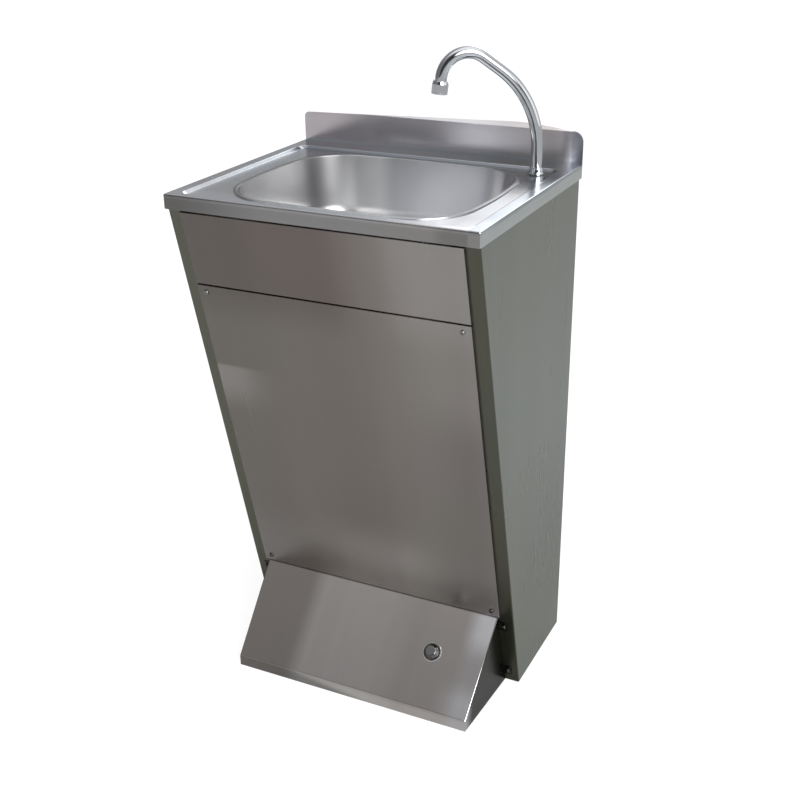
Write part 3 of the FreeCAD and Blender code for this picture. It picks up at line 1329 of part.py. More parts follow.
def union_mouth():
    """The placement at the inlet union's front mouth, Z pointing into the cabinet."""
    y = SIDE_REAR_Y - 2 * SHEET - UNION_FLANGE - UNION_FRONT_REACH
    return aimed(V(SUPPLY_X, y, inlet_level()), V(0, -1, 0))


def mouths():
    """All four pipe joints, each with its Z pointing away from its fitting."""
    outlet = stub_mouth(OUTLET_PORT_DEPTH, outlet_axis())
    inlet = stub_mouth(INLET_PORT_DEPTH, inlet_axis())
    return [outlet, spout_mouth(), inlet, union_mouth()]


def union_nuts():
    """Union nuts at the pipes' ends."""
    hood = UNION_NUT_HOOD
    nut = hexagon(UNION_NUT_FLATS, -UNION_NUT_COVER, hood)
    cavity = cylinder(THREAD_RADIUS + THREAD_CLEARANCE, -UNION_NUT_COVER - 1, hood - UNION_NUT_END)
    hole = cylinder(PIPE_RADIUS + 0.2, -UNION_NUT_COVER, hood + 1)
    nut = nut.cut([cavity, hole])
    return group([moved(nut, mouth) for mouth in mouths()])


def olives():
    """Compression rings on the pipes, inside the union nuts."""
    bore = PIPE_RADIUS + PIPE_CLEARANCE
    profile = [
        (bore, 0),
        (OLIVE_RADIUS - 1, 0),
        (OLIVE_RADIUS, OLIVE_LENGTH * 0.4),
        (OLIVE_RADIUS, OLIVE_LENGTH * 0.6),
        (OLIVE_RADIUS - 1, OLIVE_LENGTH),
        (bore, OLIVE_LENGTH),
    ]
    return group([moved(turned(profile), mouth) for mouth in mouths()])


def pipe_end(mouth):
    """Where a pipe ends inside a fitting."""
    return mouth.multVec(V(0, 0, -PIPE_SOCKET_DEPTH + 0.5))


def riser_points():
    """Corner points of the riser's route, from the valve's outlet up to the spout."""
    start = pipe_end(stub_mouth(OUTLET_PORT_DEPTH, outlet_axis()))
    way = VALVE_AXIS.Rotation.multVec(outlet_axis())
    first = start + way * ((SPOUT_Y - start.y) / way.y)
    second = V(SPOUT_X, SPOUT_Y, first.z + RISER_CROSSING_RISE)
    return [start, first, second, pipe_end(spout_mouth())]


def riser_pipe():
    """Bent tube from the valve up to the spout."""
    radii = [RISER_BEND_RADIUS, RISER_BEND_RADIUS]
    return pipe_along(bent_path(riser_points(), radii), PIPE_RADIUS, PIPE_BORE_RADIUS)


def supply_pipe():
    """Bent tube from the inlet union to the valve."""
    start = pipe_end(stub_mouth(INLET_PORT_DEPTH, inlet_axis()))
    corner = V(SUPPLY_X, start.y, start.z)
    path = bent_path([start, corner, pipe_end(union_mouth())], [SUPPLY_BEND_RADIUS])
    return pipe_along(path, PIPE_RADIUS, PIPE_BORE_RADIUS)


def inlet_union():
    """Bulkhead union in the lower rail: threaded bore to the rear, pipe stub to the front."""
    rear = SIDE_REAR_Y - SHEET
    flange_front = 2 * SHEET + UNION_FLANGE - SHEET
    profile = [
        (0, -UNION_REAR_REACH),
        (UNION_BODY_RADIUS, -UNION_REAR_REACH),
        (UNION_BODY_RADIUS, SHEET),
        (UNION_FLANGE_RADIUS, SHEET),
        (UNION_FLANGE_RADIUS, flange_front),
        (THREAD_RADIUS, flange_front),
        (THREAD_RADIUS, flange_front + UNION_FRONT_REACH),
        (0, flange_front + UNION_FRONT_REACH),
    ]
    end = flange_front + UNION_FRONT_REACH
    cavities = [
        cylinder(PORT_RADIUS, -UNION_REAR_REACH, end + 1),
        cylinder(PIPE_RADIUS + PIPE_CLEARANCE, end - PIPE_SOCKET_DEPTH, end + 1),
        cylinder(INLET_BORE_RADIUS, -UNION_REAR_REACH - 1, INLET_BORE_LENGTH - UNION_REAR_REACH),
    ]
    place = aimed(V(SUPPLY_X, rear, inlet_level()), V(0, -1, 0))
    return moved(turned(profile).cut(cavities), place)


def inlet_union_nut():
    """Ring nut that clamps the union to the rail from behind."""
    rear = SIDE_REAR_Y - SHEET
    nut = hex_nut(0, UNION_REAR_REACH - 3, UNION_BODY_RADIUS, UNION_FLANGE_RADIUS * 1.8)
    return moved(nut, aimed(V(SUPPLY_X, rear, inlet_level()), V(0, 1, 0)))


def pipe_clips():
    """Clips that hold the riser to the right side panel."""
    solids = []
    inner = PIPE_RADIUS + PIPE_CLEARANCE
    outer = inner + CLIP_SHEET
    for drop in CLIP_DROPS:
        z = WORKTOP_HEIGHT - drop
        low = z - CLIP_WIDTH / 2
        high = z + CLIP_WIDTH / 2
        loop = cylinder(outer, low, high, SPOUT_X, SPOUT_Y)
        arm = box(SPOUT_X, SIDE_INNER_X, SPOUT_Y + inner, SPOUT_Y + outer, low, high)
        foot = box(SIDE_INNER_X - CLIP_SHEET, SIDE_INNER_X, SPOUT_Y + inner - CLIP_FOOT, SPOUT_Y + outer, low, high)
        clip = fused([loop, arm, foot])
        solids.append(clip.cut(cylinder(inner, low - 1, high + 1, SPOUT_X, SPOUT_Y)))
    return group(solids)


# ---------------------------------------------------------------- waste and trap

DISH_Z = BOWL_FLOOR_Z - WASTE_DISH_DEPTH
DISH_UNDERSIDE = DISH_Z - BOWL_SHEET
WASTE_TOP_Z = DISH_Z + WASTE_SEAL + WASTE_FLANGE
BODY_TOP_Z = DISH_UNDERSIDE - WASTE_LOWER_SEAL
BODY_END_Z = BODY_TOP_Z - WASTE_BODY_LENGTH
TRAP_TOP = BODY_END_Z - TRAP_BELOW_WASTE
TRAP_BOTTOM = TRAP_TOP - TRAP_HEIGHT
TRAP_OUTLET_LEVEL = TRAP_TOP - TRAP_OUTLET_DROP
TRAP_SPLIT = TRAP_OUTLET_LEVEL - WASTE_THREAD_RADIUS - TRAP_STUB_GAP


def under_bowl(shape):
    """A piece made on Z, carried under the bowl's middle."""
    return moved(shape, at(BOWL_X, BOWL_Y, 0))


def waste_flange():
    """Grid that lies in the bowl's dish."""
    low = DISH_Z + WASTE_SEAL
    disc = cylinder(WASTE_FLANGE_RADIUS, low, WASTE_TOP_Z)
    disc = rounded(disc, WASTE_FLANGE / 2, lambda b: level(b, WASTE_TOP_Z))
    holes = [cylinder(WASTE_SCREW_RADIUS + HOLE_CLEARANCE, low - 1, WASTE_TOP_Z + 1)]
    for index in range(WASTE_HOLES):
        angle = 2 * math.pi * index / WASTE_HOLES
        x = WASTE_HOLE_CIRCLE * math.cos(angle)
        y = WASTE_HOLE_CIRCLE * math.sin(angle)
        holes.append(cylinder(WASTE_HOLE_SIZE, low - 1, WASTE_TOP_Z + 1, x, y))
    return disc.cut(holes)


def waste_seal_upper():
    """Flat seal under the grid."""
    return ring(WASTE_FLANGE_RADIUS - 1, WASTE_HOLE_RADIUS, DISH_Z, DISH_Z + WASTE_SEAL)


def waste_seal_lower():
    """Flat seal between the bowl and the waste's body."""
    return ring(WASTE_BODY_FLANGE_RADIUS - 1, WASTE_HOLE_RADIUS, BODY_TOP_Z, DISH_UNDERSIDE)


def waste_body():
    """Threaded waste body with a web for the centre screw."""
    flange = cylinder(WASTE_BODY_FLANGE_RADIUS, BODY_TOP_Z - WASTE_BODY_FLANGE, BODY_TOP_Z)
    barrel = cylinder(WASTE_THREAD_RADIUS, BODY_END_Z, BODY_TOP_Z)
    shell = fused([flange, barrel])
    shell = shell.cut(cylinder(WASTE_BORE_RADIUS, BODY_END_Z - 1, BODY_TOP_Z + 1))
    web_top = BODY_TOP_Z - WASTE_WEB_DROP
    web_low = web_top - WASTE_WEB_HEIGHT
    reach = WASTE_BORE_RADIUS + 1
    half = WASTE_WEB_ARM / 2
    arm_x = box(-reach, reach, -half, half, web_low, web_top)
    arm_y = box(-half, half, -reach, reach, web_low, web_top)
    hub = cylinder(WASTE_WEB_HUB, web_low, web_top)
    body = fused([shell, arm_x, arm_y, hub])
    return body.cut(cylinder(WASTE_SCREW_RADIUS + THREAD_CLEARANCE, web_low - 1, web_top + 1))


def waste_screw():
    """Centre screw that pulls the grid and the body together."""
    head = cylinder(WASTE_SCREW_HEAD, WASTE_TOP_Z, WASTE_TOP_Z + 2)
    head = rounded(head, 1.2, lambda b: level(b, WASTE_TOP_Z + 2))
    foot = BODY_TOP_Z - WASTE_WEB_DROP - WASTE_WEB_HEIGHT
    shank = cylinder(WASTE_SCREW_RADIUS, foot, WASTE_TOP_Z)
    slot = box(-WASTE_SCREW_HEAD, WASTE_SCREW_HEAD, -0.6, 0.6, WASTE_TOP_Z + 1, WASTE_TOP_Z + 3)
    return head.fuse(shank).cut(slot)


def drain_nut():
    """Ribbed plastic nut on Z; its joint is at zero and its pipe leaves upwards."""
    hood = DRAIN_SEAL_HEIGHT + DRAIN_NUT_END
    nut = cylinder(DRAIN_NUT_RADIUS, -DRAIN_NUT_COVER, hood)
    ribs = []
    for index in range(DRAIN_NUT_RIBS):
        angle = 2 * math.pi * index / DRAIN_NUT_RIBS
        x = DRAIN_NUT_RADIUS * math.cos(angle)
        y = DRAIN_NUT_RADIUS * math.sin(angle)
        ribs.append(cylinder(DRAIN_NUT_RIB_RADIUS, -DRAIN_NUT_COVER, hood - 2, x, y))
    nut = fused([nut] + ribs)
    cavity = cylinder(WASTE_THREAD_RADIUS + THREAD_CLEARANCE, -DRAIN_NUT_COVER - 1, DRAIN_SEAL_HEIGHT)
    hole = cylinder(DRAIN_PIPE_RADIUS + 0.3, -DRAIN_NUT_COVER, hood + 1)
    return nut.cut([cavity, hole])


def drain_seal():
    """Tapered rubber seal on the drain pipe, in a drain nut."""
    bore = DRAIN_PIPE_RADIUS + THREAD_CLEARANCE
    profile = [
        (bore, 0),
        (WASTE_THREAD_RADIUS - 2, 0),
        (WASTE_THREAD_RADIUS - 1, DRAIN_SEAL_HEIGHT),
        (bore, DRAIN_SEAL_HEIGHT),
    ]
    return turned(profile)


def tail_joint():
    """The joint under the waste's body, Z pointing down."""
    return aimed(V(BOWL_X, BOWL_Y, BODY_END_Z), V(0, 0, -1))


def trap_joint():
    """The joint on top of the trap, Z pointing up."""
    return aimed(V(BOWL_X, BOWL_Y, TRAP_TOP), V(0, 0, 1))


def outlet_joint():
    """The joint at the trap's outlet, Z pointing to the rear."""
    return aimed(V(BOWL_X, BOWL_Y + TRAP_STUB_REACH, TRAP_OUTLET_LEVEL), V(0, 1, 0))


def drain_joints():
    """The three joints of the drain pipes."""
    return [tail_joint(), trap_joint(), outlet_joint()]


def drain_nuts():
    """Ribbed nuts at the drain's joints."""
    return group([moved(drain_nut(), joint) for joint in drain_joints()])


def drain_seals():
    """Tapered seals in the drain nuts."""
    return group([moved(drain_seal(), joint) for joint in drain_joints()])


def tailpipe():
    """Straight pipe from the waste down into the trap's water."""
    top = BODY_END_Z + TAILPIPE_INSERT
    foot = TRAP_SPLIT - TRAP_DIP
    return ring(DRAIN_PIPE_RADIUS, DRAIN_PIPE_BORE, foot, top)


def trap_body():
    """Upper half of the bottle trap, with its threaded neck and outlet stub."""
    shoulder = TRAP_TOP - DRAIN_NUT_COVER - 2
    outer = cylinder(TRAP_RADIUS, TRAP_SPLIT - TRAP_CUP_OVERLAP, shoulder)
    neck = cylinder(WASTE_THREAD_RADIUS, shoulder - 1, TRAP_TOP)
    stub = Part.makeCylinder(WASTE_THREAD_RADIUS, TRAP_STUB_REACH, V(0, 0, TRAP_OUTLET_LEVEL), V(0, 1, 0))
    body = fused([outer, neck, stub])
    inner = TRAP_RADIUS - TRAP_WALL
    cavities = [
        cylinder(inner, TRAP_SPLIT - TRAP_CUP_OVERLAP - 1, shoulder - TRAP_WALL),
        cylinder(DRAIN_PIPE_RADIUS + 0.3, shoulder - TRAP_WALL - 1, TRAP_TOP + 1),
    ]
    bore_start = V(0, inner - 4, TRAP_OUTLET_LEVEL)
    bore = Part.makeCylinder(DRAIN_PIPE_RADIUS + 0.3, TRAP_STUB_REACH, bore_start, V(0, 1, 0))
    return body.cut(cavities + [bore])


def trap_cup():
    """Screw-on cup of the bottle trap."""
    outer = cylinder(TRAP_CUP_RADIUS, TRAP_BOTTOM, TRAP_SPLIT)
    outer = rounded(outer, 6, lambda b: level(b, TRAP_BOTTOM))
    ribs = []
    for index in range(DRAIN_NUT_RIBS):
        angle = 2 * math.pi * index / DRAIN_NUT_RIBS
        x = TRAP_CUP_RADIUS * math.cos(angle)
        y = TRAP_CUP_RADIUS * math.sin(angle)
        ribs.append(cylinder(DRAIN_NUT_RIB_RADIUS, TRAP_SPLIT - TRAP_CUP_OVERLAP * 2, TRAP_SPLIT, x, y))
    cup = fused([outer] + ribs)
    socket = TRAP_SPLIT - TRAP_CUP_OVERLAP - 2
    cavities = [
        cylinder(TRAP_RADIUS + THREAD_CLEARANCE, socket, TRAP_SPLIT + 1),
        cylinder(TRAP_RADIUS - TRAP_WALL, TRAP_BOTTOM + TRAP_WALL, TRAP_SPLIT),
    ]
    return cup.cut(cavities)


def trap_seal():
    """Flat ring between the trap's body and its cup."""
    low = TRAP_SPLIT - TRAP_CUP_OVERLAP - 2
    return ring(TRAP_RADIUS - 0.3, TRAP_RADIUS - TRAP_WALL + 0.2, low, low + 2)


def outlet_pipe():
    """Level pipe from the trap to the rear, with a stop collar behind the trap's nut."""
    start = BOWL_Y + TRAP_STUB_REACH - OUTLET_PIPE_INSERT
    end = FRONT_Y + TOTAL_DEPTH - OUTLET_PIPE_END_GAP
    place = aimed(V(BOWL_X, start, TRAP_OUTLET_LEVEL), V(0, 1, 0))
    pipe = ring(DRAIN_PIPE_RADIUS, DRAIN_PIPE_BORE, 0, end - start)
    collar_low = OUTLET_PIPE_INSERT + DRAIN_SEAL_HEIGHT + DRAIN_NUT_END + PIPE_COLLAR_GAP
    collar = ring(PIPE_COLLAR_RADIUS, DRAIN_PIPE_BORE, collar_low, collar_low + PIPE_COLLAR_LENGTH)
    return moved(pipe.fuse(collar), place)


# ---------------------------------------------------------------- writing the nodes

def nodes():
    """Every node's name and solid."""
    right = side_panel_right()
    return {
        "worktop": worktop(),
        "bowl": bowl(),
        "sound_pads": sound_pads(),
        "side_panel_right": right,
        "side_panel_left": mirrored(right),
        "worktop_brackets": worktop_brackets(),
        "worktop_nuts": worktop_nuts(),
        "fascia_panel": fascia_panel(),
        "fascia_nuts": fascia_nuts(),
        "access_panel": access_panel(),
        "access_panel_screws": access_panel_screws(),
        "panel_rivet_nuts": panel_rivet_nuts(),
        "kick_plate": kick_plate(),
        "kick_plate_washers": kick_plate_washers(),
        "kick_plate_screws": kick_plate_screws(),
        "kick_rivet_nuts": kick_rivet_nuts(),
        "rear_rail_upper": rear_rail_upper(),
        "rear_rail_lower": rear_rail_lower(),
        "rear_rail_screws": rear_rail_screws(),
        "rear_rail_nuts": rear_rail_nuts(),
        "spout_base": spout_base(),
        "spout_gasket": spout_gasket(),
        "spout_lock_washer": spout_lock_washer(),
        "spout_locknut": spout_locknut(),
        "spout_retaining_screw": spout_retaining_screw(),
        "spout_tube": spout_tube(),
        "spout_orings": spout_orings(),
        "aerator_housing": aerator_housing(),
        "aerator_insert": aerator_insert(),
        "aerator_washer": aerator_washer(),
        "valve_body": valve_body(),
        "valve_end_cap": valve_end_cap(),
        "valve_locknut": valve_locknut(),
        "button_wiper": button_wiper(),
        "foot_button": foot_button(),
        "valve_stem": valve_stem(),
        "poppet_seal": poppet_seal(),
        "valve_spring": valve_spring(),
        "riser_pipe": riser_pipe(),
        "supply_pipe": supply_pipe(),
        "union_nuts": union_nuts(),
        "olives": olives(),
        "inlet_union": inlet_union(),
        "inlet_union_nut": inlet_union_nut(),
        "pipe_clips": pipe_clips(),
        "waste_flange": under_bowl(waste_flange()),
        "waste_seal_upper": under_bowl(waste_seal_upper()),
        "waste_seal_lower": under_bowl(waste_seal_lower()),
        "waste_body": under_bowl(waste_body()),
        "waste_screw": under_bowl(waste_screw()),
        "drain_nuts": drain_nuts(),
        "drain_seals": drain_seals(),
        "tailpipe": under_bowl(tailpipe()),
        "trap_body": under_bowl(trap_body()),
        "trap_cup": under_bowl(trap_cup()),
        "trap_seal": under_bowl(trap_seal()),
        "outlet_pipe": outlet_pipe(),
    }


def main():
    """Write one STEP file for each node."""
    os.makedirs("parts", exist_ok=True)
    for name, shape in nodes().items():
        count = len(shape.Solids)
        print(name, "solids", count, "valid", shape.isValid(), "volume", round(shape.Volume, 1))
        shape.exportStep("parts/" + name + ".step")


main()
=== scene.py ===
"""Looks of a foot operated stainless steel hand wash sink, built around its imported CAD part.

The frame is the part's own, in metres: +Z up, front towards -Y, origin on the floor. The pieces'
sizes and places are given in millimetres.
"""

import json
import logging
import math
from dataclasses import dataclass, field
from enum import Enum

import bmesh
import bpy
from mathutils import Matrix, Vector

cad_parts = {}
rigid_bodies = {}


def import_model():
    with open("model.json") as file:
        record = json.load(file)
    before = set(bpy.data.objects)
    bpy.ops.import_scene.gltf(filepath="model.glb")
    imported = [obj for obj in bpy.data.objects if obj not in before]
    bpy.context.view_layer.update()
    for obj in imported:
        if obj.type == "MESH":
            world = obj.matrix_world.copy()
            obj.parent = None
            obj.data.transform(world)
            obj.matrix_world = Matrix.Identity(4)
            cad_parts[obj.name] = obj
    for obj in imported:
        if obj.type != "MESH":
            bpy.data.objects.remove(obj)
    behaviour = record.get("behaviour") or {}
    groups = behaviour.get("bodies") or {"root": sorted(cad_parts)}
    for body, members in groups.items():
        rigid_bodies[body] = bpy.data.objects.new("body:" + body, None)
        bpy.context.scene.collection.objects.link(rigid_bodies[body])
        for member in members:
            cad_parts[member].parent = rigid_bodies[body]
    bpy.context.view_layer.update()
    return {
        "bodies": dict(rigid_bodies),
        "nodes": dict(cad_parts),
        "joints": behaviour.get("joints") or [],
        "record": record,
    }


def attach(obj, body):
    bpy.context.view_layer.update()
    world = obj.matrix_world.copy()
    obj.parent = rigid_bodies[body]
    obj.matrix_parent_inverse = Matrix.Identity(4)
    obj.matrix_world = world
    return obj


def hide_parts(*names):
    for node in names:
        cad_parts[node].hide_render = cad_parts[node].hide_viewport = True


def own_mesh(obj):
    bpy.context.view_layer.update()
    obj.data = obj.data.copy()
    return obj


Triple = tuple[float, float, float]
Profile = list[tuple[float, float]]
Ring = list[bmesh.types.BMEdge]

log = logging.getLogger("hand_wash_sink")

MM = 0.001
SHARP_ANGLE = math.radians(32)
RIB_SHARP_ANGLE = math.radians(50)

# faces round a turned piece
ROUND_STEPS = 72

# points nearer than these, in metres, are one point
SKIN_MERGE = 2e-6
SEAM_MERGE = 1e-7

# ways across the part, for the planes that bound a tone
LEFT = (-1, 0, 0)
RIGHT = (1, 0, 0)
FRONT = (0, -1, 0)
REAR = (0, 1, 0)
UP = (0, 0, 1)
DOWN = (0, 0, -1)
LEFT_CHEEK = (-1, -0.03, 0)
RIGHT_CHEEK = (1, -0.03, 0)
LOW_LEFT = (-0.15, 0, -1)
PANEL_FRONT = (0.0, -0.96997, -0.24323)
BUTTON_WAY = (0.0, -0.722122, 0.691766)


# ---------------------------------------------------------------- material graphs


class Grain(Enum):
    """The way a sheet was brushed, as noise scales along X, Y and Z."""

    UPRIGHT = (520.0, 520.0, 2.6)
    LEANING = (520.0, 2.6, 2.6)
    ACROSS = (3.2, 520.0, 520.0)
    NONE = (260.0, 260.0, 260.0)


class Value:
    """One output of a material graph that takes arithmetic."""

    def __init__(self, graph: "Graph", socket: bpy.types.NodeSocket) -> None:
        """Holds the socket and the graph it belongs to."""
        self.graph = graph
        self.socket = socket

    def _math(self, operation: str, first: object, second: object) -> "Value":
        """Adds one Math node."""
        return self.graph.node("ShaderNodeMath", {"operation": operation}, {0: first, 1: second})

    def __add__(self, other: object) -> "Value":
        """Sum."""
        return self._math("ADD", self, other)

    def __radd__(self, other: object) -> "Value":
        """Sum, reflected."""
        return self._math("ADD", other, self)

    def __sub__(self, other: object) -> "Value":
        """Difference."""
        return self._math("SUBTRACT", self, other)

    def __rsub__(self, other: object) -> "Value":
        """Difference, reflected."""
        return self._math("SUBTRACT", other, self)

    def __mul__(self, other: object) -> "Value":
        """Product."""
        return self._math("MULTIPLY", self, other)

    def __rmul__(self, other: object) -> "Value":
        """Product, reflected."""
        return self._math("MULTIPLY", other, self)


class Graph:
    """The node tree of one material or of the world."""

    def __init__(self, tree: bpy.types.NodeTree) -> None:
        """Empties the tree."""
        self.tree = tree
        self.tree.nodes.clear()

    def node(self, kind: str, settings: dict, sockets: dict, output: object = 0) -> Value:
        """Adds a node.

        Args:
            kind: the node's type name.
            settings: properties of the node, which are set first.
            sockets: input name or number to a number, a colour or another Value.
            output: name or number of the output that is returned.

        Returns:
            The chosen output.
        """
        node = self.tree.nodes.new(kind)
        for name, value in settings.items():
            setattr(node, name, value)
        for name, value in sockets.items():
            if isinstance(value, Value):
                self.tree.links.new(value.socket, node.inputs[name])
            else:
                node.inputs[name].default_value = value
        return Value(self, node.outputs[output])

    def position(self) -> Value:
        """The point in the object's own coordinates."""
        return self.node("ShaderNodeTexCoord", {}, {}, "Object")

    def times(self, vector: Value, other: Value | Triple) -> Value:
        """A vector or colour times another, part by part."""
        return self.node("ShaderNodeVectorMath", {"operation": "MULTIPLY"}, {0: vector, 1: other})

    def dot(self, vector: Value, way: Triple | Vector) -> Value:
        """The vector's share along a way."""
        return self.node("ShaderNodeVectorMath", {"operation": "DOT_PRODUCT"}, {0: vector, 1: way}, "Value")

    def noise(self, vector: Value, scale: float, detail: float = 2.0, roughness: float = 0.5) -> Value:
        """Soft noise around one half."""
        sockets = {"Vector": vector, "Scale": scale, "Detail": detail, "Roughness": roughness}
        return self.node("ShaderNodeTexNoise", {}, sockets)

    def ramp(self, value: object, low: float, high: float, start: float = 0.0, end: float = 1.0) -> Value:
        """A smooth step of value from start at low to end at high."""
        sockets = {"Value": value, "From Min": low, "From Max": high, "To Min": start, "To Max": end}
        return self.node("ShaderNodeMapRange", {"interpolation_type": "SMOOTHSTEP"}, sockets)

    def blend(self, factor: object, first: object, second: object) -> Value:
        """A colour between two colours."""
        settings = {"data_type": "RGBA", "blend_type": "MIX"}
        return self.node("ShaderNodeMix", settings, {0: factor, 6: first, 7: second}, 2)

    def scaled(self, colour: object, factor: Value) -> Value:
        """A colour times a number."""
        return self.node("ShaderNodeVectorMath", {"operation": "SCALE"}, {0: colour, "Scale": factor})

    def bump(self, height: Value, distance: float) -> Value:
        """A normal from a height in metres of the given distance."""
        return self.node("ShaderNodeBump", {}, {"Height": height, "Distance": distance}, "Normal")

    def output(self, shader: Value, kind: str = "ShaderNodeOutputMaterial") -> None:
        """Adds an output node and links the shader to it."""
        output = self.tree.nodes.new(kind)
        self.tree.links.new(shader.socket, output.inputs["Surface"])

    def skin(self, colour: Value, roughness: Value, metallic: float, normal: Value) -> None:
        """Makes the tree a plain surface of metal or of plastic."""
        sockets = {"Base Color": colour, "Roughness": roughness, "Metallic": metallic, "Normal": normal}
        self.output(self.node("ShaderNodeBsdfPrincipled", {}, sockets))


def rgba(colour: Triple) -> tuple[float, float, float, float]:
    """A linear colour with full alpha."""
    return (*colour, 1.0)


WHITE = rgba((1.0, 1.0, 1.0))
METAL = 1.0
PLASTIC = 0.0


def new_material(name: str) -> tuple[bpy.types.Material, Graph]:
    """Makes an empty material.

    Args:
        name: the material's name.

    Returns:
        The material and its graph.
    """
    material = bpy.data.materials.new(name)
    material.use_nodes = True
    return material, Graph(material.node_tree)


# ---------------------------------------------------------------- finishes


@dataclass(frozen=True)
class Edge:
    """A soft plane across a piece, from start to end in millimetres along its normal."""

    normal: Triple
    start: float
    end: float

    def mask(self, graph: Graph, point: Value) -> Value:
        """0 before the plane and 1 past it."""
        return graph.ramp(graph.dot(point, self.normal), self.start * MM, self.end * MM)


@dataclass(frozen=True)
class Zone(Edge):
    """A part of a piece, past a plane and past its limits too, that shows another tone: painted light and
    shade on most pieces, and the plated rim on the valve.
    """

    tone: Triple
    limits: tuple[Edge, ...] = ()

    def mask(self, graph: Graph, point: Value) -> Value:
        """Marks the zone.

        Args:
            graph: the material's graph.
            point: the place on the piece.

        Returns:
            1 where the tone is seen and 0 elsewhere.
        """
        seen = super().mask(graph, point)
        for limit in self.limits:
            seen = seen * limit.mask(graph, point)
        return seen


@dataclass(frozen=True)
class Steel:
    """Stainless sheet, brushed or satin.

    It drifts between its colour and its tint. Streak, mottle, band, fine and smear say how far each
    pattern moves the tone, swing how far the roughness moves, and bump is the streaks' depth in
    millimetres. Each zone of painted light multiplies the colour by its tone, painting in highlights,
    reflections and shade where the sheet shows its surroundings.
    """

    name: str
    colour: Triple
    tint: Triple
    roughness: float
    grain: Grain
    streak: float = 0.05
    mottle: float = 0.04
    bump: float = 0.003
    band: float = 0.10
    painted_light: tuple[Zone, ...] = ()
    fine: float = 0.008
    smear: float = 0.03
    swing: float = 0.04
    broad_scale: Triple = (0.10, 0.10, 0.10)
    band_scale: Triple = (0.022, 0.022, 0.10)
    cloud_scale: float = 4.0
    smear_stretch: Triple = (1.0, 1.0, 0.35)
    smear_scale: float = 11.0
    smear_range: tuple[float, float] = (0.45, 0.80)
    hue_scale: float = 3.2
    hue_range: tuple[float, float] = (0.38, 0.62)

    def material(self) -> bpy.types.Material:
        """Makes the sheet's material: streaks and bands along the grain, soft clouds and smears, and the
        painted highlights, reflections and shade of its zones.

        Returns:
            The material.
        """
        material, graph = new_material(self.name)
        point = graph.position()
        brushed = graph.times(point, self.grain.value)
        fine = graph.noise(brushed, 1.0) - 0.5
        streaks = graph.noise(graph.times(brushed, self.broad_scale), 1.0) - 0.5
        bands = graph.noise(graph.times(brushed, self.band_scale), 1.0, 1.0) - 0.5
        clouds = graph.noise(point, self.cloud_scale) - 0.5
        smeared = graph.noise(graph.times(point, self.smear_stretch), self.smear_scale)
        smears = graph.ramp(smeared, *self.smear_range)
        tone = streaks * (2 * self.streak) + clouds * (2 * self.mottle) + bands * (2 * self.band) + 1.0
        tone = tone + fine * self.fine - smears * self.smear
        hue = graph.ramp(graph.noise(point, self.hue_scale, 1.0), *self.hue_range)
        colour = graph.blend(hue, rgba(self.colour), rgba(self.tint))
        # the zones paint highlights, reflections and shade into the colour
        for zone in self.painted_light:
            colour = graph.times(colour, graph.blend(zone.mask(graph, point), WHITE, rgba(zone.tone)))
        colour = graph.scaled(colour, tone)
        roughness = streaks * self.swing + clouds * self.swing + self.roughness
        normal = graph.bump(streaks, self.bump * MM)
        graph.skin(colour, roughness, METAL, normal)
        return material


@dataclass(frozen=True)
class Plated:
    """Polished metal or plating with faint water marks.

    Marks and film_swing say how far the spots and the film move the roughness, spot and film how far
    they move the tone. Ripple and wave add up to the surface's depth in millimetres. The zone has its
    own colour, painted shade on the chrome and the screws and the plated rim on the brass, and takes
    off the share polish of the roughness.
    """

    name: str
    colour: Triple
    roughness: float
    marks: float = 0.06
    wave: float = 0.0
    zone: Zone | None = None
    spot: float = 0.03
    film: float = 0.06
    film_swing: float = 0.02
    ripple: float = 0.006
    polish: float = 0.6
    spot_scale: float = 210.0
    spot_range: tuple[float, float] = (0.56, 0.70)
    film_scale: float = 38.0
    ripple_scale: float = 90.0

    def material(self) -> bpy.types.Material:
        """Makes the plating's material: spots and film over an even metal.

        Returns:
            The material.
        """
        material, graph = new_material(self.name)
        point = graph.position()
        spots = graph.ramp(graph.noise(point, self.spot_scale, 3.0, 0.6), *self.spot_range)
        film = graph.noise(point, self.film_scale, 3.0, 0.6) - 0.5
        tone = 1.0 - spots * self.spot + film * self.film
        roughness = spots * self.marks + film * self.film_swing + self.roughness
        base = self.colour
        # the zone paints shade on the chrome and the screws, and is the plated rim on the brass
        if self.zone:
            mask = self.zone.mask(graph, point)
            base = graph.blend(mask, rgba(self.colour), rgba(self.zone.tone))
            roughness = roughness * (1.0 - mask * self.polish)
        colour = graph.scaled(base, tone)
        normal = graph.bump(graph.noise(point, self.ripple_scale), (self.ripple + self.wave) * MM)
        graph.skin(colour, roughness, METAL, normal)
        return material


@dataclass(frozen=True)
class Moulded:
    """Plastic, rubber or damping pad.

    Speck and scuff say how far the pores and scuffs move the tone, pore_swing and scuff_swing how far
    they move the roughness, and pores is the pores' depth in millimetres.
    """

    name: str
    colour: Triple
    roughness: float
    speck: float = 0.08
    pores: float = 0.04
    scale: float = 420.0
    scuff: float = 0.05
    pore_swing: float = 0.12
    scuff_swing: float = 0.08
    scuff_scale: float = 60.0
    scuff_range: tuple[float, float] = (0.52, 0.70)

    def material(self) -> bpy.types.Material:
        """Makes the moulding's material: a fine texture, faint specks and scuffs.

        Returns:
            The material.
        """
        material, graph = new_material(self.name)
        point = graph.position()
        pores = graph.noise(point, self.scale, 3.0, 0.6)
        scuffs = graph.ramp(graph.noise(point, self.scuff_scale, 4.0, 0.65), *self.scuff_range)
        tone = (pores - 0.5) * (2 * self.speck) + 1.0 + scuffs * self.scuff
        colour = graph.scaled(self.colour, tone)
        roughness = (pores - 0.5) * self.pore_swing + scuffs * self.scuff_swing + self.roughness
        normal = graph.bump(pores, self.pores * MM)
        graph.skin(colour, roughness, PLASTIC, normal)
        return material
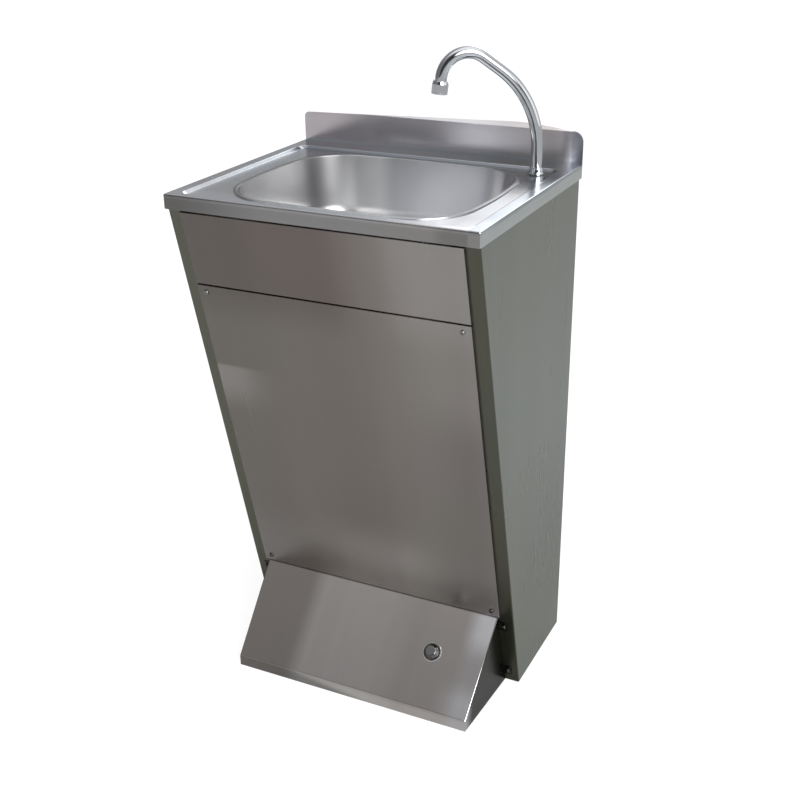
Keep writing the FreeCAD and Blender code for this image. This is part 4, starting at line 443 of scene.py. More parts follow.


# Painted light on the sheets: highlights, reflections and shade that stand in for the room they
# show. Each gives the distances along a way between which a painted tone comes in, and how much it
# lightens or darkens red, green and blue past them.
TOP_FACE = Edge(UP, 849.5, 850.0)
UPSTAND_FACE = Edge(UP, 856.4, 857.4)
DECK_LEVEL = Edge(DOWN, -854.8, -854.2)
LEFT_STEP = Edge(RIGHT, -232, -231)
RIGHT_STEP = Edge(LEFT, -232, -231)
BACK_STEP = Edge(FRONT, -159.5, -158.5)
FRONT_LIP = Edge(FRONT, 212.5, 213.0)
# painted light on the upstand, its right end and the deck's front; painted shade on the front lip, the
# worktop's right rim and end, the upstand's sides, the deck right of the bowl and the strip behind the
# recess
TOP_PAINTED_LIGHT = (
    Zone(UP, 856.4, 857.4, (1.18, 1.08, 1.05)),
    Zone(FRONT, 212.5, 213.0, (0.47, 0.44, 0.41)),
    Zone(LEFT, 60, 240, (0.60, 0.60, 0.60), (FRONT_LIP,)),
    Zone(RIGHT, 248.8, 249.3, (0.76, 0.78, 0.74)),
    Zone(LEFT, 60, 160, (0.84, 0.82, 0.84), (UPSTAND_FACE,)),
    Zone(RIGHT, 60, 130, (0.84, 0.84, 0.82), (UPSTAND_FACE,)),
    Zone(RIGHT, 195, 225, (1.26, 1.26, 1.30), (UPSTAND_FACE,)),
    Zone(FRONT, 140, 180, (1.26, 1.24, 1.26), (TOP_FACE,)),
    Zone(RIGHT, 231, 233, (0.70, 0.74, 0.78), (TOP_FACE,)),
    Zone(RIGHT, 175, 200, (0.78, 0.78, 0.79), (DECK_LEVEL, RIGHT_STEP)),
    Zone(REAR, 151, 152, (0.38, 0.38, 0.40), (BACK_STEP, DECK_LEVEL, LEFT_STEP, RIGHT_STEP)),
)
# painted reflections, highlights and shade across the front panels, lighter to the right and low down, with
# a bright patch at the left and painted light over the reflected shade above the kick plate
PANEL_PAINTED_LIGHT = (
    Zone(RIGHT, -215, -60, (1.14, 1.12, 1.10)),
    Zone(RIGHT, -20, 235, (1.36, 1.40, 1.46)),
    Zone(RIGHT, 60, 200, (0.80, 0.80, 0.80), (Edge(DOWN, -600, -480),)),
    Zone(DOWN, -300, -190, (1.16, 1.18, 1.20)),
    Zone(LEFT, -60, 0, (0.82, 0.80, 0.80), (Edge(UP, 640, 720),)),
    Zone(RIGHT, 75, 120, (1.14, 1.15, 1.18), (Edge(UP, 640, 720),)),
    Zone(LEFT, 110, 205, (1.50, 1.52, 1.60), (Edge(DOWN, -572, -564), Edge(UP, 470, 545))),
    Zone(DOWN, -320, -190, (1.45, 1.48, 1.50), (Edge(RIGHT, -140, -20), Edge(LEFT, -160, -60))),
)
# painted shade on the side panels' front flanges and lower parts, and painted light on the left panel
SIDE_PAINTED_LIGHT = (
    Zone(PANEL_FRONT, -3.6, -2.8, (0.48, 0.45, 0.40)),
    Zone(DOWN, -480, -40, (0.74, 0.74, 0.68)),
    Zone(LEFT, 0, 100, (1.25, 1.25, 1.28)),
)
# painted highlights on the lip and along the right edge; painted shade on the cheeks, the lip's lower left
# and the left part of the slope
KICK_PAINTED_LIGHT = (
    Zone(DOWN, -17, -15, (1.12, 1.14, 1.14)),
    Zone(LOW_LEFT, -12, 4, (0.52, 0.52, 0.52), (Edge(DOWN, -20, -18),)),
    Zone(RIGHT_CHEEK, 219.7, 220.3, (0.05, 0.05, 0.045)),
    Zone(LEFT_CHEEK, 219.7, 220.3, (0.30, 0.30, 0.30)),
    Zone(LEFT, 92, 128, (0.67, 0.65, 0.63)),
    Zone(RIGHT, 25, 95, (0.88, 0.86, 0.86)),
    Zone(RIGHT, 165, 200, (1.18, 1.22, 1.26)),
    Zone(RIGHT, 165, 205, (1.55, 1.60, 1.66), (Edge(UP, 85, 125),)),
    Zone(RIGHT, 140, 205, (1.45, 1.50, 1.56), (Edge(DOWN, -70, -35), Edge(UP, 20, 21))),
)
# painted shade on the bowl's left and right walls, painted light on its floor and a painted glow on the back
# wall at the left
BOWL_PAINTED_LIGHT = (
    Zone(RIGHT, 90, 175, (0.49, 0.49, 0.51)),
    Zone(LEFT, 95, 160, (0.38, 0.37, 0.36)),
    Zone(DOWN, -775, -748, (1.40, 1.40, 1.36)),
    Zone(LEFT, 40, 75, (1.40, 1.40, 1.36), (Edge(REAR, 60, 100), Edge(RIGHT, -150, -120))),
)
# Painted shade on the chrome low down by the floor and on the lowest screws, and the valve's plated rim,
# which is metal of another colour.
SHADED_LOW_CHROME = Zone(DOWN, -400, -380, (0.22, 0.22, 0.22))
SHADED_LOW_SCREWS = Zone(DOWN, -175, -170, (0.08, 0.08, 0.08))
VALVE_RIM = Zone(BUTTON_WAY, 126.8, 127.1, (0.60, 0.60, 0.61))

# The stainless sheets are one steel: their base colours differ to paint in how light or dark each shows,
# darkest on the front and side panels as painted shade, lightest on the worktop and bowl, and their tints
# are painted in with them.
FINISHES = {
    "worktop_steel": Steel(
        "worktop_steel_look", (0.62, 0.66, 0.71), (0.64, 0.66, 0.69), 0.22, Grain.ACROSS, painted_light=TOP_PAINTED_LIGHT
    ),
    "bowl_steel": Steel(
        "bowl_steel_look", (0.67, 0.68, 0.71), (0.68, 0.68, 0.70), 0.30, Grain.NONE,
        streak=0.02, mottle=0.03, bump=0.006, band=0.0, painted_light=BOWL_PAINTED_LIGHT,
    ),
    "panel_steel": Steel(
        "panel_steel_look", (0.182, 0.164, 0.154), (0.178, 0.167, 0.152), 0.26, Grain.LEANING,
        painted_light=PANEL_PAINTED_LIGHT,
    ),
    "side_steel": Steel(
        "side_steel_look", (0.205, 0.225, 0.206), (0.210, 0.225, 0.200), 0.28, Grain.UPRIGHT,
        painted_light=SIDE_PAINTED_LIGHT,
    ),
    "kick_steel": Steel(
        "kick_steel_look", (0.450, 0.424, 0.413), (0.443, 0.424, 0.411), 0.24, Grain.LEANING,
        painted_light=KICK_PAINTED_LIGHT,
    ),
    "frame_steel": Steel("frame_steel_look", (0.40, 0.41, 0.41), (0.42, 0.41, 0.40), 0.36, Grain.ACROSS),
    "waste_steel": Plated("waste_steel_look", (0.60, 0.60, 0.61), 0.14),
    "chrome": Plated("chrome_look", (0.60, 0.62, 0.65), 0.04, 0.01, zone=SHADED_LOW_CHROME),
    "brass": Plated("brass_look", (0.62, 0.45, 0.20), 0.28, 0.10, 0.03, VALVE_RIM),
    "fixings": Plated("fixings_look", (0.26, 0.26, 0.26), 0.32, zone=SHADED_LOW_SCREWS),
    "pipe": Plated("pipe_look", (0.60, 0.61, 0.62), 0.16),
    "plastic": Moulded("plastic_look", (0.62, 0.63, 0.62), 0.38),
    "rubber": Moulded("rubber_look", (0.020, 0.020, 0.021), 0.62, 0.20, 0.06),
    "pad": Moulded("pad_look", (0.045, 0.043, 0.040), 0.85, 0.35, 0.25, 900.0),
}


@dataclass
class Palette:
    """The finishes' materials, made once each."""

    made: dict[str, bpy.types.Material] = field(default_factory=dict)

    def __getitem__(self, slot: str) -> bpy.types.Material:
        """Makes or finds a slot's material.

        Args:
            slot: one of the record's slots.

        Returns:
            Its material.
        """
        if slot not in self.made:
            self.made[slot] = FINISHES[slot].material()
        return self.made[slot]


# ---------------------------------------------------------------- mesh helpers


def arc_points(centre: tuple[float, float], radius: float, start: float, end: float, steps: int) -> Profile:
    """Points of an arc in a profile, from start to end in degrees."""
    turns = [math.radians(start + (end - start) * step / steps) for step in range(steps + 1)]
    return [(centre[0] + radius * math.cos(turn), centre[1] + radius * math.sin(turn)) for turn in turns]


class Surface:
    """A mesh under construction."""

    def __init__(self) -> None:
        """Starts empty."""
        self.mesh = bmesh.new()

    def line(self, points: list[Triple]) -> Ring:
        """Extrudes one vertex from point to point.

        Args:
            points: where the line goes, in metres.

        Returns:
            The line's edges.
        """
        vert = bmesh.ops.create_vert(self.mesh, co=points[0])["vert"][0]
        edges = []
        for point in points[1:]:
            made = bmesh.ops.extrude_vert_indiv(self.mesh, verts=[vert])
            vert = made["verts"][0]
            vert.co = point
            edges.extend(made["edges"])
        return edges

    def lathe(self, profile: Profile, steps: int, closed: bool = False) -> None:
        """Spins a profile of (radius, height) in millimetres round the Z axis.

        Args:
            profile: the points, in order.
            steps: faces round the axis.
            closed: whether the last point joins the first.
        """
        points = [(radius * MM, 0.0, height * MM) for radius, height in profile]
        edges = self.line(points + points[:1] if closed else points)
        geometry = edges + list({vert for edge in edges for vert in edge.verts})
        turn = {"cent": (0, 0, 0), "axis": (0, 0, 1), "angle": 2 * math.pi, "steps": steps}
        bmesh.ops.spin(self.mesh, geom=geometry, use_merge=True, **turn)
        bmesh.ops.remove_doubles(self.mesh, verts=self.mesh.verts, dist=SEAM_MERGE)

    def circle(self, radius: float, segments: int, place: Matrix) -> Ring:
        """A ring of edges."""
        made = bmesh.ops.create_circle(self.mesh, radius=radius, segments=segments, matrix=place)
        return list({edge for vert in made["verts"] for edge in vert.link_edges})

    def extrude(self, edges: Ring, shift: Vector) -> Ring:
        """Extrudes a ring of edges.

        Args:
            edges: the ring.
            shift: how far and which way.

        Returns:
            The new ring.
        """
        made = bmesh.ops.extrude_edge_only(self.mesh, edges=edges)["geom"]
        verts = {item for item in made if isinstance(item, bmesh.types.BMVert)}
        bmesh.ops.translate(self.mesh, verts=list(verts), vec=shift)
        return [item for item in made if isinstance(item, bmesh.types.BMEdge) and set(item.verts) <= verts]

    def bend(self, edges: Ring, centre: Vector, axis: Vector, angle: float, steps: int) -> Ring:
        """Sweeps a ring of edges round an axis.

        Args:
            edges: the ring.
            centre: a point of the axis.
            axis: the axis's way.
            angle: how far, in radians.
            steps: faces along the way.

        Returns:
            The last ring.
        """
        geometry = edges + list({vert for edge in edges for vert in edge.verts})
        turn = {"cent": centre, "axis": axis, "angle": angle, "steps": steps}
        made = bmesh.ops.spin(self.mesh, geom=geometry, **turn)["geom_last"]
        return [item for item in made if isinstance(item, bmesh.types.BMEdge)]

    def loft(self, rings: list[list[Vector]]) -> None:
        """Makes a closed skin, each ring extruded from the one before.

        Args:
            rings: the rings' points in metres, as many in each; the last joins the first.
        """
        count = len(rings[0])
        place = self.mesh.verts.layers.int.new("place")
        made = bmesh.ops.create_circle(self.mesh, radius=1.0, segments=count)["verts"]
        for index, vert in enumerate(made):
            vert[place] = index
            vert.co = rings[0][index]
        first = edges = list(self.mesh.edges)
        for ring in rings[1:]:
            edges = self.extrude(edges, Vector())
            for vert in {vert for edge in edges for vert in edge.verts}:
                vert.co = ring[vert[place]]
        bmesh.ops.bridge_loops(self.mesh, edges=first + edges)

    def move(self, place: Matrix) -> None:
        """Moves the whole mesh."""
        bmesh.ops.transform(self.mesh, matrix=place, verts=self.mesh.verts)

    def outward(self) -> None:
        """Turns all faces outwards."""
        bmesh.ops.recalc_face_normals(self.mesh, faces=self.mesh.faces)

    def made(self, name: str, material: bpy.types.Material, sharp: float = SHARP_ANGLE) -> bpy.types.Object:
        """Turns the mesh into a smooth shaded object with crisp edges.

        Args:
            name: the piece's name.
            material: its only material.
            sharp: edges that turn by more than this angle stay crisp.

        Returns:
            The new object.
        """
        data = bpy.data.meshes.new(name)
        self.mesh.to_mesh(data)
        self.mesh.free()
        if "custom_normal" in data.attributes:
            data.attributes.remove(data.attributes["custom_normal"])
        data.materials.clear()
        data.materials.append(material)
        data.polygons.foreach_set("use_smooth", [True] * len(data.polygons))
        data.polygons.foreach_set("material_index", [0] * len(data.polygons))
        data.set_sharp_from_angle(angle=sharp)
        piece = bpy.data.objects.new(name, data)
        bpy.context.scene.collection.objects.link(piece)
        weighted = piece.modifiers.new("even_shading", "WEIGHTED_NORMAL")
        weighted.keep_sharp = True
        log.info("%s has %d faces", name, len(data.polygons))
        return piece


@dataclass
class Assembly:
    """What every group of pieces needs: the loaded frame and the finishes."""

    frame: dict
    palette: Palette

    def body_of(self, node: str) -> str:
        """The body that a CAD node belongs to."""
        return self.frame["nodes"][node].parent.name.split(":")[1]

    def settle(self, piece: bpy.types.Object, node: str) -> bpy.types.Object:
        """Lets a piece stand for a CAD node and ride its body.

        Args:
            piece: the object.
            node: the CAD node's name.

        Returns:
            The same object.
        """
        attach(piece, self.body_of(node))
        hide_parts(node)
        self.slots[node]
        return piece

    def merged(self, node: str) -> bpy.types.Object:
        """Makes a merged, smooth shaded copy of a CAD node.

        Args:
            node: the CAD node's name.

        Returns:
            The new object.
        """
        surface = Surface()
        surface.mesh.from_mesh(self.frame["nodes"][node].data)
        bmesh.ops.remove_doubles(surface.mesh, verts=surface.mesh.verts, dist=SKIN_MERGE)
        bmesh.ops.dissolve_degenerate(surface.mesh, edges=surface.mesh.edges, dist=SEAM_MERGE)
        return self.settle(surface.made(f"{node}_skin", self.palette[self.slots[node]]), node)

    def dress(self, nodes: tuple[str, ...]) -> None:
        """Makes the merged copies of several CAD nodes."""
        for node in nodes:
            self.merged(node)

    @property
    def slots(self) -> dict[str, str]:
        """Node name to the record's slot name."""
        return self.frame["slots"]


# ---------------------------------------------------------------- sub-assemblies


@dataclass
class Worktop(Assembly):
    """Pressed worktop with its upstand, and what holds it."""

    sheets: tuple[str, ...] = ("worktop", "worktop_brackets", "worktop_nuts")

    def build(self) -> None:
        """Makes the worktop's pieces."""
        self.dress(self.sheets)


@dataclass
class Bowl(Assembly):
    """Pressed bowl with a rolled rim; its sizes are millimetres.

    The dish is the low place round the waste. Its steps are (radius, height) past the dish's own,
    from its bottom up to the bowl's floor.
    """

    x: float = 5.0
    y: float = -23.824
    half_length: float = 191.0
    half_width: float = 159.5
    side_radius: float = 700.0
    front_radius: float = 1500.0
    corner_radius: float = 84.0
    rim_top: float = 853.0
    deck: float = 851.0
    floor: float = 731.0
    dish: float = 728.0
    draft: float = 12.0
    fillet: float = 48.0
    wall: float = 1.2
    rim_width: float = 5.0
    roll: float = 1.8
    lip_roll: float = 1.0
    dish_radius: float = 38.0
    dish_steps: tuple[tuple[float, float], ...] = ((-1.5, 0.0), (-0.4, 0.5), (0.0, 1.4), (2.0, 3.0))
    hole_radius: float = 22.0
    arc_steps: int = 20
    wall_steps: int = 6
    fillet_steps: int = 16
    floor_steps: int = 8
    under_steps: int = 6

    def outline(self) -> list[tuple[float, float, float, float]]:
        """The mouth's outline as points and outward directions, starting on the +X side.

        Returns:
            (x, y, nx, ny) round the bowl's middle, in millimetres.
        """
        side = Vector((self.half_length - self.side_radius, 0.0))
        front = Vector((0.0, self.half_width - self.front_radius))
        reach_side = self.side_radius - self.corner_radius
        reach_front = self.front_radius - self.corner_radius
        apart = (front - side).length
        along = (reach_side**2 - reach_front**2 + apart**2) / (2 * apart)
        across = math.sqrt(reach_side**2 - along**2)
        unit = (front - side).normalized()
        corner = side + unit * along + Vector((-unit.y, unit.x)) * across
        to_side = math.atan2(*reversed(corner - side))
        to_front = math.atan2(*reversed(corner - front))
        quarter = []
        spans = (
            (side, self.side_radius, 0.0, to_side),
            (corner, self.corner_radius, to_side, to_front),
            (front, self.front_radius, to_front, math.pi / 2),
        )
        for centre, radius, start, end in spans:
            for step in range(self.arc_steps):
                turn = start + (end - start) * step / self.arc_steps
                way = Vector((math.cos(turn), math.sin(turn)))
                point = centre + way * radius
                quarter.append((point.x, point.y, way.x, way.y))
        top = (0.0, self.half_width, 0.0, 1.0)
        second = [(-x, y, -nx, ny) for x, y, nx, ny in [top] + quarter[:0:-1]]
        half = quarter + second
        return half + [(-x, -y, -nx, -ny) for x, y, nx, ny in half]

    def ring(self, inset: float, height: float, roundness: float = 0.0, radius: float = 0.0) -> list[Vector]:
        """One ring of the bowl's skin.

        Args:
            inset: how far inside the mouth's outline, in millimetres.
            height: its height in millimetres.
            roundness: 0 follows the outline, 1 is a circle of the given radius.
            radius: the circle's radius in millimetres.

        Returns:
            The ring's points in metres.
        """
        points = []
        for x, y, nx, ny in self.outline():
            point = Vector((x - nx * inset, y - ny * inset))
            circle = Vector((x / self.half_length, y / self.half_width)).normalized() * radius
            flat = point.lerp(circle, roundness)
            points.append(Vector(((flat.x + self.x) * MM, (flat.y + self.y) * MM, height * MM)))
        return points

    def wall_profile(self, grow: float, drop: float, top: float) -> Profile:
        """Works out the wall and the fillet at its foot.

        Args:
            grow: how far outside the bowl's inner skin, in millimetres.
            drop: how far below its floor.
            top: the height where the wall starts.

        Returns:
            (inset, height) from the top down to the floor.
        """
        slope = math.atan2(self.draft, self.rim_top - self.floor)
        radius = self.fillet + grow
        foot = self.floor - drop
        turn = math.pi / 2 - slope
        reach = radius * math.tan(turn / 2)
        lean = math.tan(slope)
        start = self.draft - grow + reach
        points = [((self.rim_top - top) * lean - grow, top)]
        low = foot + reach * math.cos(slope)
        for step in range(1, self.wall_steps):
            height = top + (low - top) * step / self.wall_steps
            points.append(((self.rim_top - height) * lean - grow, height))
        centre = (start, foot + radius)
        return points + arc_points(centre, radius, 180 + math.degrees(slope), 270, self.fillet_steps)

    def disc(self, radius: float, height: float) -> list[Vector]:
        """One round ring about the bowl's middle."""
        return self.ring(0, height, 1.0, radius)

    def rings(self, profile: Profile) -> list[list[Vector]]:
        """Rings along the outline from (inset, height)."""
        return [self.ring(inset, height) for inset, height in profile]

    def floor_rings(self, inset: float, height: float, radius: float, steps: int) -> list[list[Vector]]:
        """Rings of a flat floor, from an inset outline to a circle."""
        shares = [step / steps for step in range(1, steps + 1)]
        return [self.ring(inset, height, share, radius) for share in shares]

    def build(self) -> None:
        """Makes the bowl as one closed skin, from the dish over the rim to the underside."""
        lip = self.lip_roll
        inside = self.wall_profile(0.0, 0.0, self.rim_top - lip)
        outside = self.wall_profile(self.wall, self.wall, self.deck)
        rings = [self.disc(self.hole_radius, self.dish)]
        rings += [self.disc(self.dish_radius + out, self.dish + up) for out, up in self.dish_steps]
        dish_edge = self.dish_radius + self.dish_steps[-1][0]
        flat = self.floor_rings(inside[-1][0], self.floor, dish_edge, self.floor_steps)
        rings += flat[:-1][::-1] + self.rings(inside[::-1])
        width = self.rim_width + self.wall
        rings += self.rings(arc_points((-lip, self.rim_top - lip), lip, 0, 90, 5)[1:])
        roll = self.roll
        rings += self.rings(arc_points((roll - width, self.rim_top - roll), roll, 90, 180, 6))
        rings += self.rings([(-width, self.deck)] + outside)
        under = self.dish_radius + self.wall
        low = self.dish - self.wall
        rings += self.floor_rings(outside[-1][0], self.floor - self.wall, under, self.under_steps)
        rings += [self.disc(under, low), self.disc(self.hole_radius, low)]
        surface = Surface()
        surface.loft(rings)
        surface.outward()
        self.settle(surface.made("bowl_skin", self.palette["bowl_steel"]), "bowl")
        self.merged("sound_pads")


@dataclass
class Cabinet(Assembly):
    """Folded side panels, front panels, rails and their fixings."""

    sheets: tuple[str, ...] = (
        "side_panel_left", "side_panel_right", "fascia_panel", "access_panel", "rear_rail_upper",
        "rear_rail_lower",
    )
    fixings: tuple[str, ...] = (
        "fascia_nuts", "access_panel_screws", "panel_rivet_nuts", "rear_rail_screws", "rear_rail_nuts",
    )

    def build(self) -> None:
        """Makes the cabinet's pieces."""
        self.dress(self.sheets + self.fixings)


@dataclass
class KickPlate(Assembly):
    """Sloping foot wedge with its screws."""

    pieces: tuple[str, ...] = ("kick_plate", "kick_plate_screws", "kick_plate_washers", "kick_rivet_nuts")

    def build(self) -> None:
        """Makes the kick plate's pieces."""
        self.dress(self.pieces)


@dataclass
class Spout(Assembly):
    """Chromed swan neck on its base, with the aerator at its tip; its sizes are millimetres."""

    x: float = 201.0
    y: float = 129.176
    aim: float = 34.0
    foot: float = 827.0
    tube: float = 9.0
    wall: float = 1.5
    bend_start: float = 892.0
    first_radius: float = 147.0
    first_angle: float = 54.0
    straight: float = 31.0
    second_radius: float = 40.0
    lean: float = 6.5
    drop: float = 13.0
    seat: float = 852.0
    shank: float = 52.0
    socket: float = 9.08
    thread: float = 10.4
    base_radius: float = 12.0
    base_height: float = 10.0
    collar_chamfer: float = 0.3
    collar_bead: float = 0.6
    collar_waist: float = 1.0
    collar_roll: float = 1.0
    socket_chamfer: float = 0.4
    nose: float = 10.2
    nose_length: float = 9.0
    nose_gap: float = 0.02
    nose_chamfer: float = 0.4
    aerator_radius: float = 12.2
    aerator_length: float = 19.0
    aerator_below_tip: float = 10.2
    aerator_gap: float = 0.2
    washer_seat: float = 1.2
    ribs_from: float = 2.2
    ribs_below_top: float = 5.0
    groove_depth: float = 0.42
    grooves: int = 24
    sides: int = 64
    first_steps: int = 44
    second_steps: int = 48
    others: tuple[str, ...] = (
        "aerator_insert", "aerator_washer", "spout_gasket", "spout_lock_washer", "spout_locknut",
        "spout_orings", "spout_retaining_screw",
    )

    def reach_way(self) -> Vector:
        """The level direction in which the neck reaches out."""
        turn = math.radians(self.aim)
        return Vector((-math.cos(turn), -math.sin(turn), 0.0))

    def neck(self) -> Matrix:
        """Makes the neck.

        Returns:
            Its tip's place, with Z back along the tube.
        """
        foot = Vector((self.x, self.y, self.foot)) * MM
        way = self.reach_way()
        axis = Vector((0, 0, 1)).cross(way)
        angle = math.radians(self.first_angle)
        rest = math.pi - angle - math.radians(self.lean)
        surface = Surface()
        ring = surface.circle(self.tube * MM, self.sides, Matrix.Translation(foot))
        ring = surface.extrude(ring, Vector((0, 0, (self.bend_start - self.foot) * MM)))
        bend_foot = Vector((self.x, self.y, self.bend_start)) * MM
        centre = bend_foot + way * self.first_radius * MM
        ring = surface.bend(ring, centre, axis, angle, self.first_steps)
        middle = centre + Matrix.Rotation(angle, 3, axis) @ (bend_foot - centre)
        onward = Matrix.Rotation(angle, 3, axis) @ Vector((0, 0, 1))
        ring = surface.extrude(ring, onward * self.straight * MM)
        middle = middle + onward * self.straight * MM
        centre = middle + axis.cross(onward) * self.second_radius * MM
        ring = surface.bend(ring, centre, axis, rest, self.second_steps)
        middle = centre + Matrix.Rotation(rest, 3, axis) @ (middle - centre)
        onward = Matrix.Rotation(rest, 3, axis) @ onward
        surface.extrude(ring, onward * self.drop * MM)
        surface.outward()
        bmesh.ops.solidify(surface.mesh, geom=surface.mesh.faces, thickness=self.wall * MM)
        self.settle(surface.made("spout_neck", self.palette["chrome"]), "spout_tube")
        tip = middle + onward * self.drop * MM
        return Matrix.Translation(tip) @ (-onward).to_track_quat("Z", "Y").to_matrix().to_4x4()

    def nose_ring(self, tip: Matrix) -> None:
        """Makes the thicker end of the neck that the sleeve is screwed on.

        Args:
            tip: the neck's tip.
        """
        bore = self.tube + self.nose_gap
        r = self.nose
        cut = self.nose_chamfer
        length = self.nose_length
        surface = Surface()
        profile = [(bore, 0.0), (r, 0.0), (r, length - cut), (r - cut, length), (bore, length)]
        surface.lathe(profile, ROUND_STEPS, closed=True)
        surface.move(tip)
        surface.outward()
        piece = surface.made("spout_nose", self.palette["chrome"])
        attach(piece, self.body_of("spout_tube"))
        self.slots["spout_tube"]

    def base(self) -> None:
        """Makes the collar and shank on the deck."""
        low = self.seat
        high = low + self.base_height
        r = self.base_radius
        bore = self.socket
        thread = self.thread
        profile = [(bore, low - self.shank), (thread, low - self.shank), (thread, low)]
        profile += [(r - self.collar_chamfer, low), (r, low + self.collar_chamfer), (r, low + 1.6)]
        profile += arc_points((r - self.collar_bead, low + 1.8), self.collar_bead, 0, 60, 3)[1:]
        r -= self.collar_waist
        profile += [(r, low + 3.6), (r, high - 1.2)]
        profile += arc_points((r - self.collar_roll, high - self.collar_roll), self.collar_roll, 0, 90, 6)
        profile += [(bore + self.socket_chamfer, high), (bore, high - self.socket_chamfer)]
        surface = Surface()
        surface.lathe(profile, ROUND_STEPS, closed=True)
        surface.move(Matrix.Translation((self.x * MM, self.y * MM, 0)))
        surface.outward()
        self.settle(surface.made("spout_collar", self.palette["chrome"]), "spout_base")

    def aerator(self, tip: Matrix) -> None:
        """Makes the ribbed sleeve round the neck's tip.

        Args:
            tip: the neck's tip.
        """
        r = self.aerator_radius
        top = self.aerator_length
        bore = self.nose + self.aerator_gap
        seat = self.washer_seat
        ribs_end = top - self.ribs_below_top
        profile = [(bore, seat), (bore - seat, seat), (bore - seat, 0.3), (bore - 0.9, 0.0)]
        profile += [(r - 0.6, 0.0), (r - 0.1, 0.35), (r, 0.8)]
        profile += [(r, low + step) for low in (self.ribs_from, ribs_end) for step in (-0.1, 0.1)]
        profile += [(r, top - 4.0), (r - 0.5, top - 3.0), (r - 1.0, top - 0.4), (r - 1.4, top), (bore, top)]
        surface = Surface()
        surface.lathe(profile, self.grooves * 6, closed=True)
        for vert in surface.mesh.verts:
            radius = math.hypot(vert.co.x, vert.co.y)
            ribbed = self.ribs_from * MM < vert.co.z < ribs_end * MM and radius > (r - 0.5) * MM
            if ribbed:
                turn = math.atan2(vert.co.y, vert.co.x) * self.grooves
                dip = max(0.0, math.cos(turn)) ** 2 * self.groove_depth * MM
                vert.co.x *= 1 - dip / radius
                vert.co.y *= 1 - dip / radius
        surface.move(tip @ Matrix.Translation((0, 0, -self.aerator_below_tip * MM)))
        surface.outward()
        sleeve = surface.made("aerator_sleeve", self.palette["chrome"], RIB_SHARP_ANGLE)
        self.settle(sleeve, "aerator_housing")

    def build(self) -> None:
        """Makes the spout's pieces."""
        self.base()
        tip = self.neck()
        self.nose_ring(tip)
        self.aerator(tip)
        self.dress(self.others)


@dataclass
class FootValve(Assembly):
    """Push button, valve body and what works inside it; the button's sizes are millimetres."""

    foot: Vector = field(default_factory=lambda: Vector((127.0, -93.49, 88.16)) * MM)
    axis: Vector = field(default_factory=lambda: Vector(BUTTON_WAY))
    button_radius: float = 12.6
    face_radius: float = 8.3
    proud: float = 10.0
    shoulder: float = 3.5
    skirt: float = 9.0
    shoulder_chamfer: float = 0.4
    skirt_chamfer: float = 0.3
    crown: float = 0.02
    travel: float = 8.0
    others: tuple[str, ...] = (
        "valve_body", "valve_end_cap", "valve_locknut", "valve_stem", "button_wiper", "poppet_seal",
    )

    def place(self) -> Matrix:
        """From a Z axis at the origin to the button's axis."""
        return Matrix.Translation(self.foot) @ self.axis.to_track_quat("Z", "Y").to_matrix().to_4x4()

    def button(self) -> None:
        """Makes the push button: a flat face, a rounded edge, a conical flank and a straight skirt."""
        r = self.button_radius
        face = self.face_radius
        top = self.proud
        shoulder = self.shoulder
        cut = self.skirt_chamfer
        profile = [(0.0, -self.skirt), (r - cut, -self.skirt), (r, -self.skirt + cut)]
        profile += [(r, shoulder - self.shoulder_chamfer), (r - 0.08, shoulder), (r - 0.35, shoulder + 0.45)]
        profile += [(face + 0.62, top - 0.75), (face + 0.35, top - 0.36), (face - 0.05, top - 0.1)]
        profile += [(face - 0.7, top), (face - 1.6, top), (0.0, top - self.crown)]
        surface = Surface()
        surface.lathe(profile, ROUND_STEPS)
        surface.move(self.place())
        surface.outward()
        self.settle(surface.made("push_button", self.palette["chrome"]), "foot_button")

    def spring(self) -> None:
        """Makes the spring's merged copy, with a mesh of its own."""
        spring = self.merged("valve_spring")
        along = [self.axis.dot(vert.co) for vert in spring.data.vertices]
        keep = 1.0 - self.travel * MM / (max(along) - min(along))
        self.axis * min(along)
        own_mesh(spring)

    def build(self) -> None:
        """Makes the valve's pieces."""
        self.button()
        self.dress(self.others)
        self.spring()


@dataclass
class Plumbing(Assembly):
    """Water pipes, inlet and drain."""

    pieces: tuple[str, ...] = (
        "riser_pipe", "supply_pipe", "union_nuts", "olives", "pipe_clips", "inlet_union",
        "inlet_union_nut", "waste_flange", "waste_screw", "waste_seal_upper", "waste_seal_lower",
        "waste_body", "tailpipe", "drain_nuts", "drain_seals", "trap_body", "trap_cup", "trap_seal",
        "outlet_pipe",
    )

    def build(self) -> None:
        """Makes the pipes' and drain's pieces."""
        self.dress(self.pieces)


# ---------------------------------------------------------------- studio


@dataclass(frozen=True)
class Glow:
    """A soft patch of light or shade in the surroundings that the metal reflects.

    It is full at inner degrees from its way, and fades out at outer degrees.
    """

    way: Triple
    inner: float
    outer: float
    level: float


@dataclass(frozen=True)
class Lamp:
    """One large area lamp."""

    name: str
    place: Triple
    target: Triple
    size: float
    watts: float


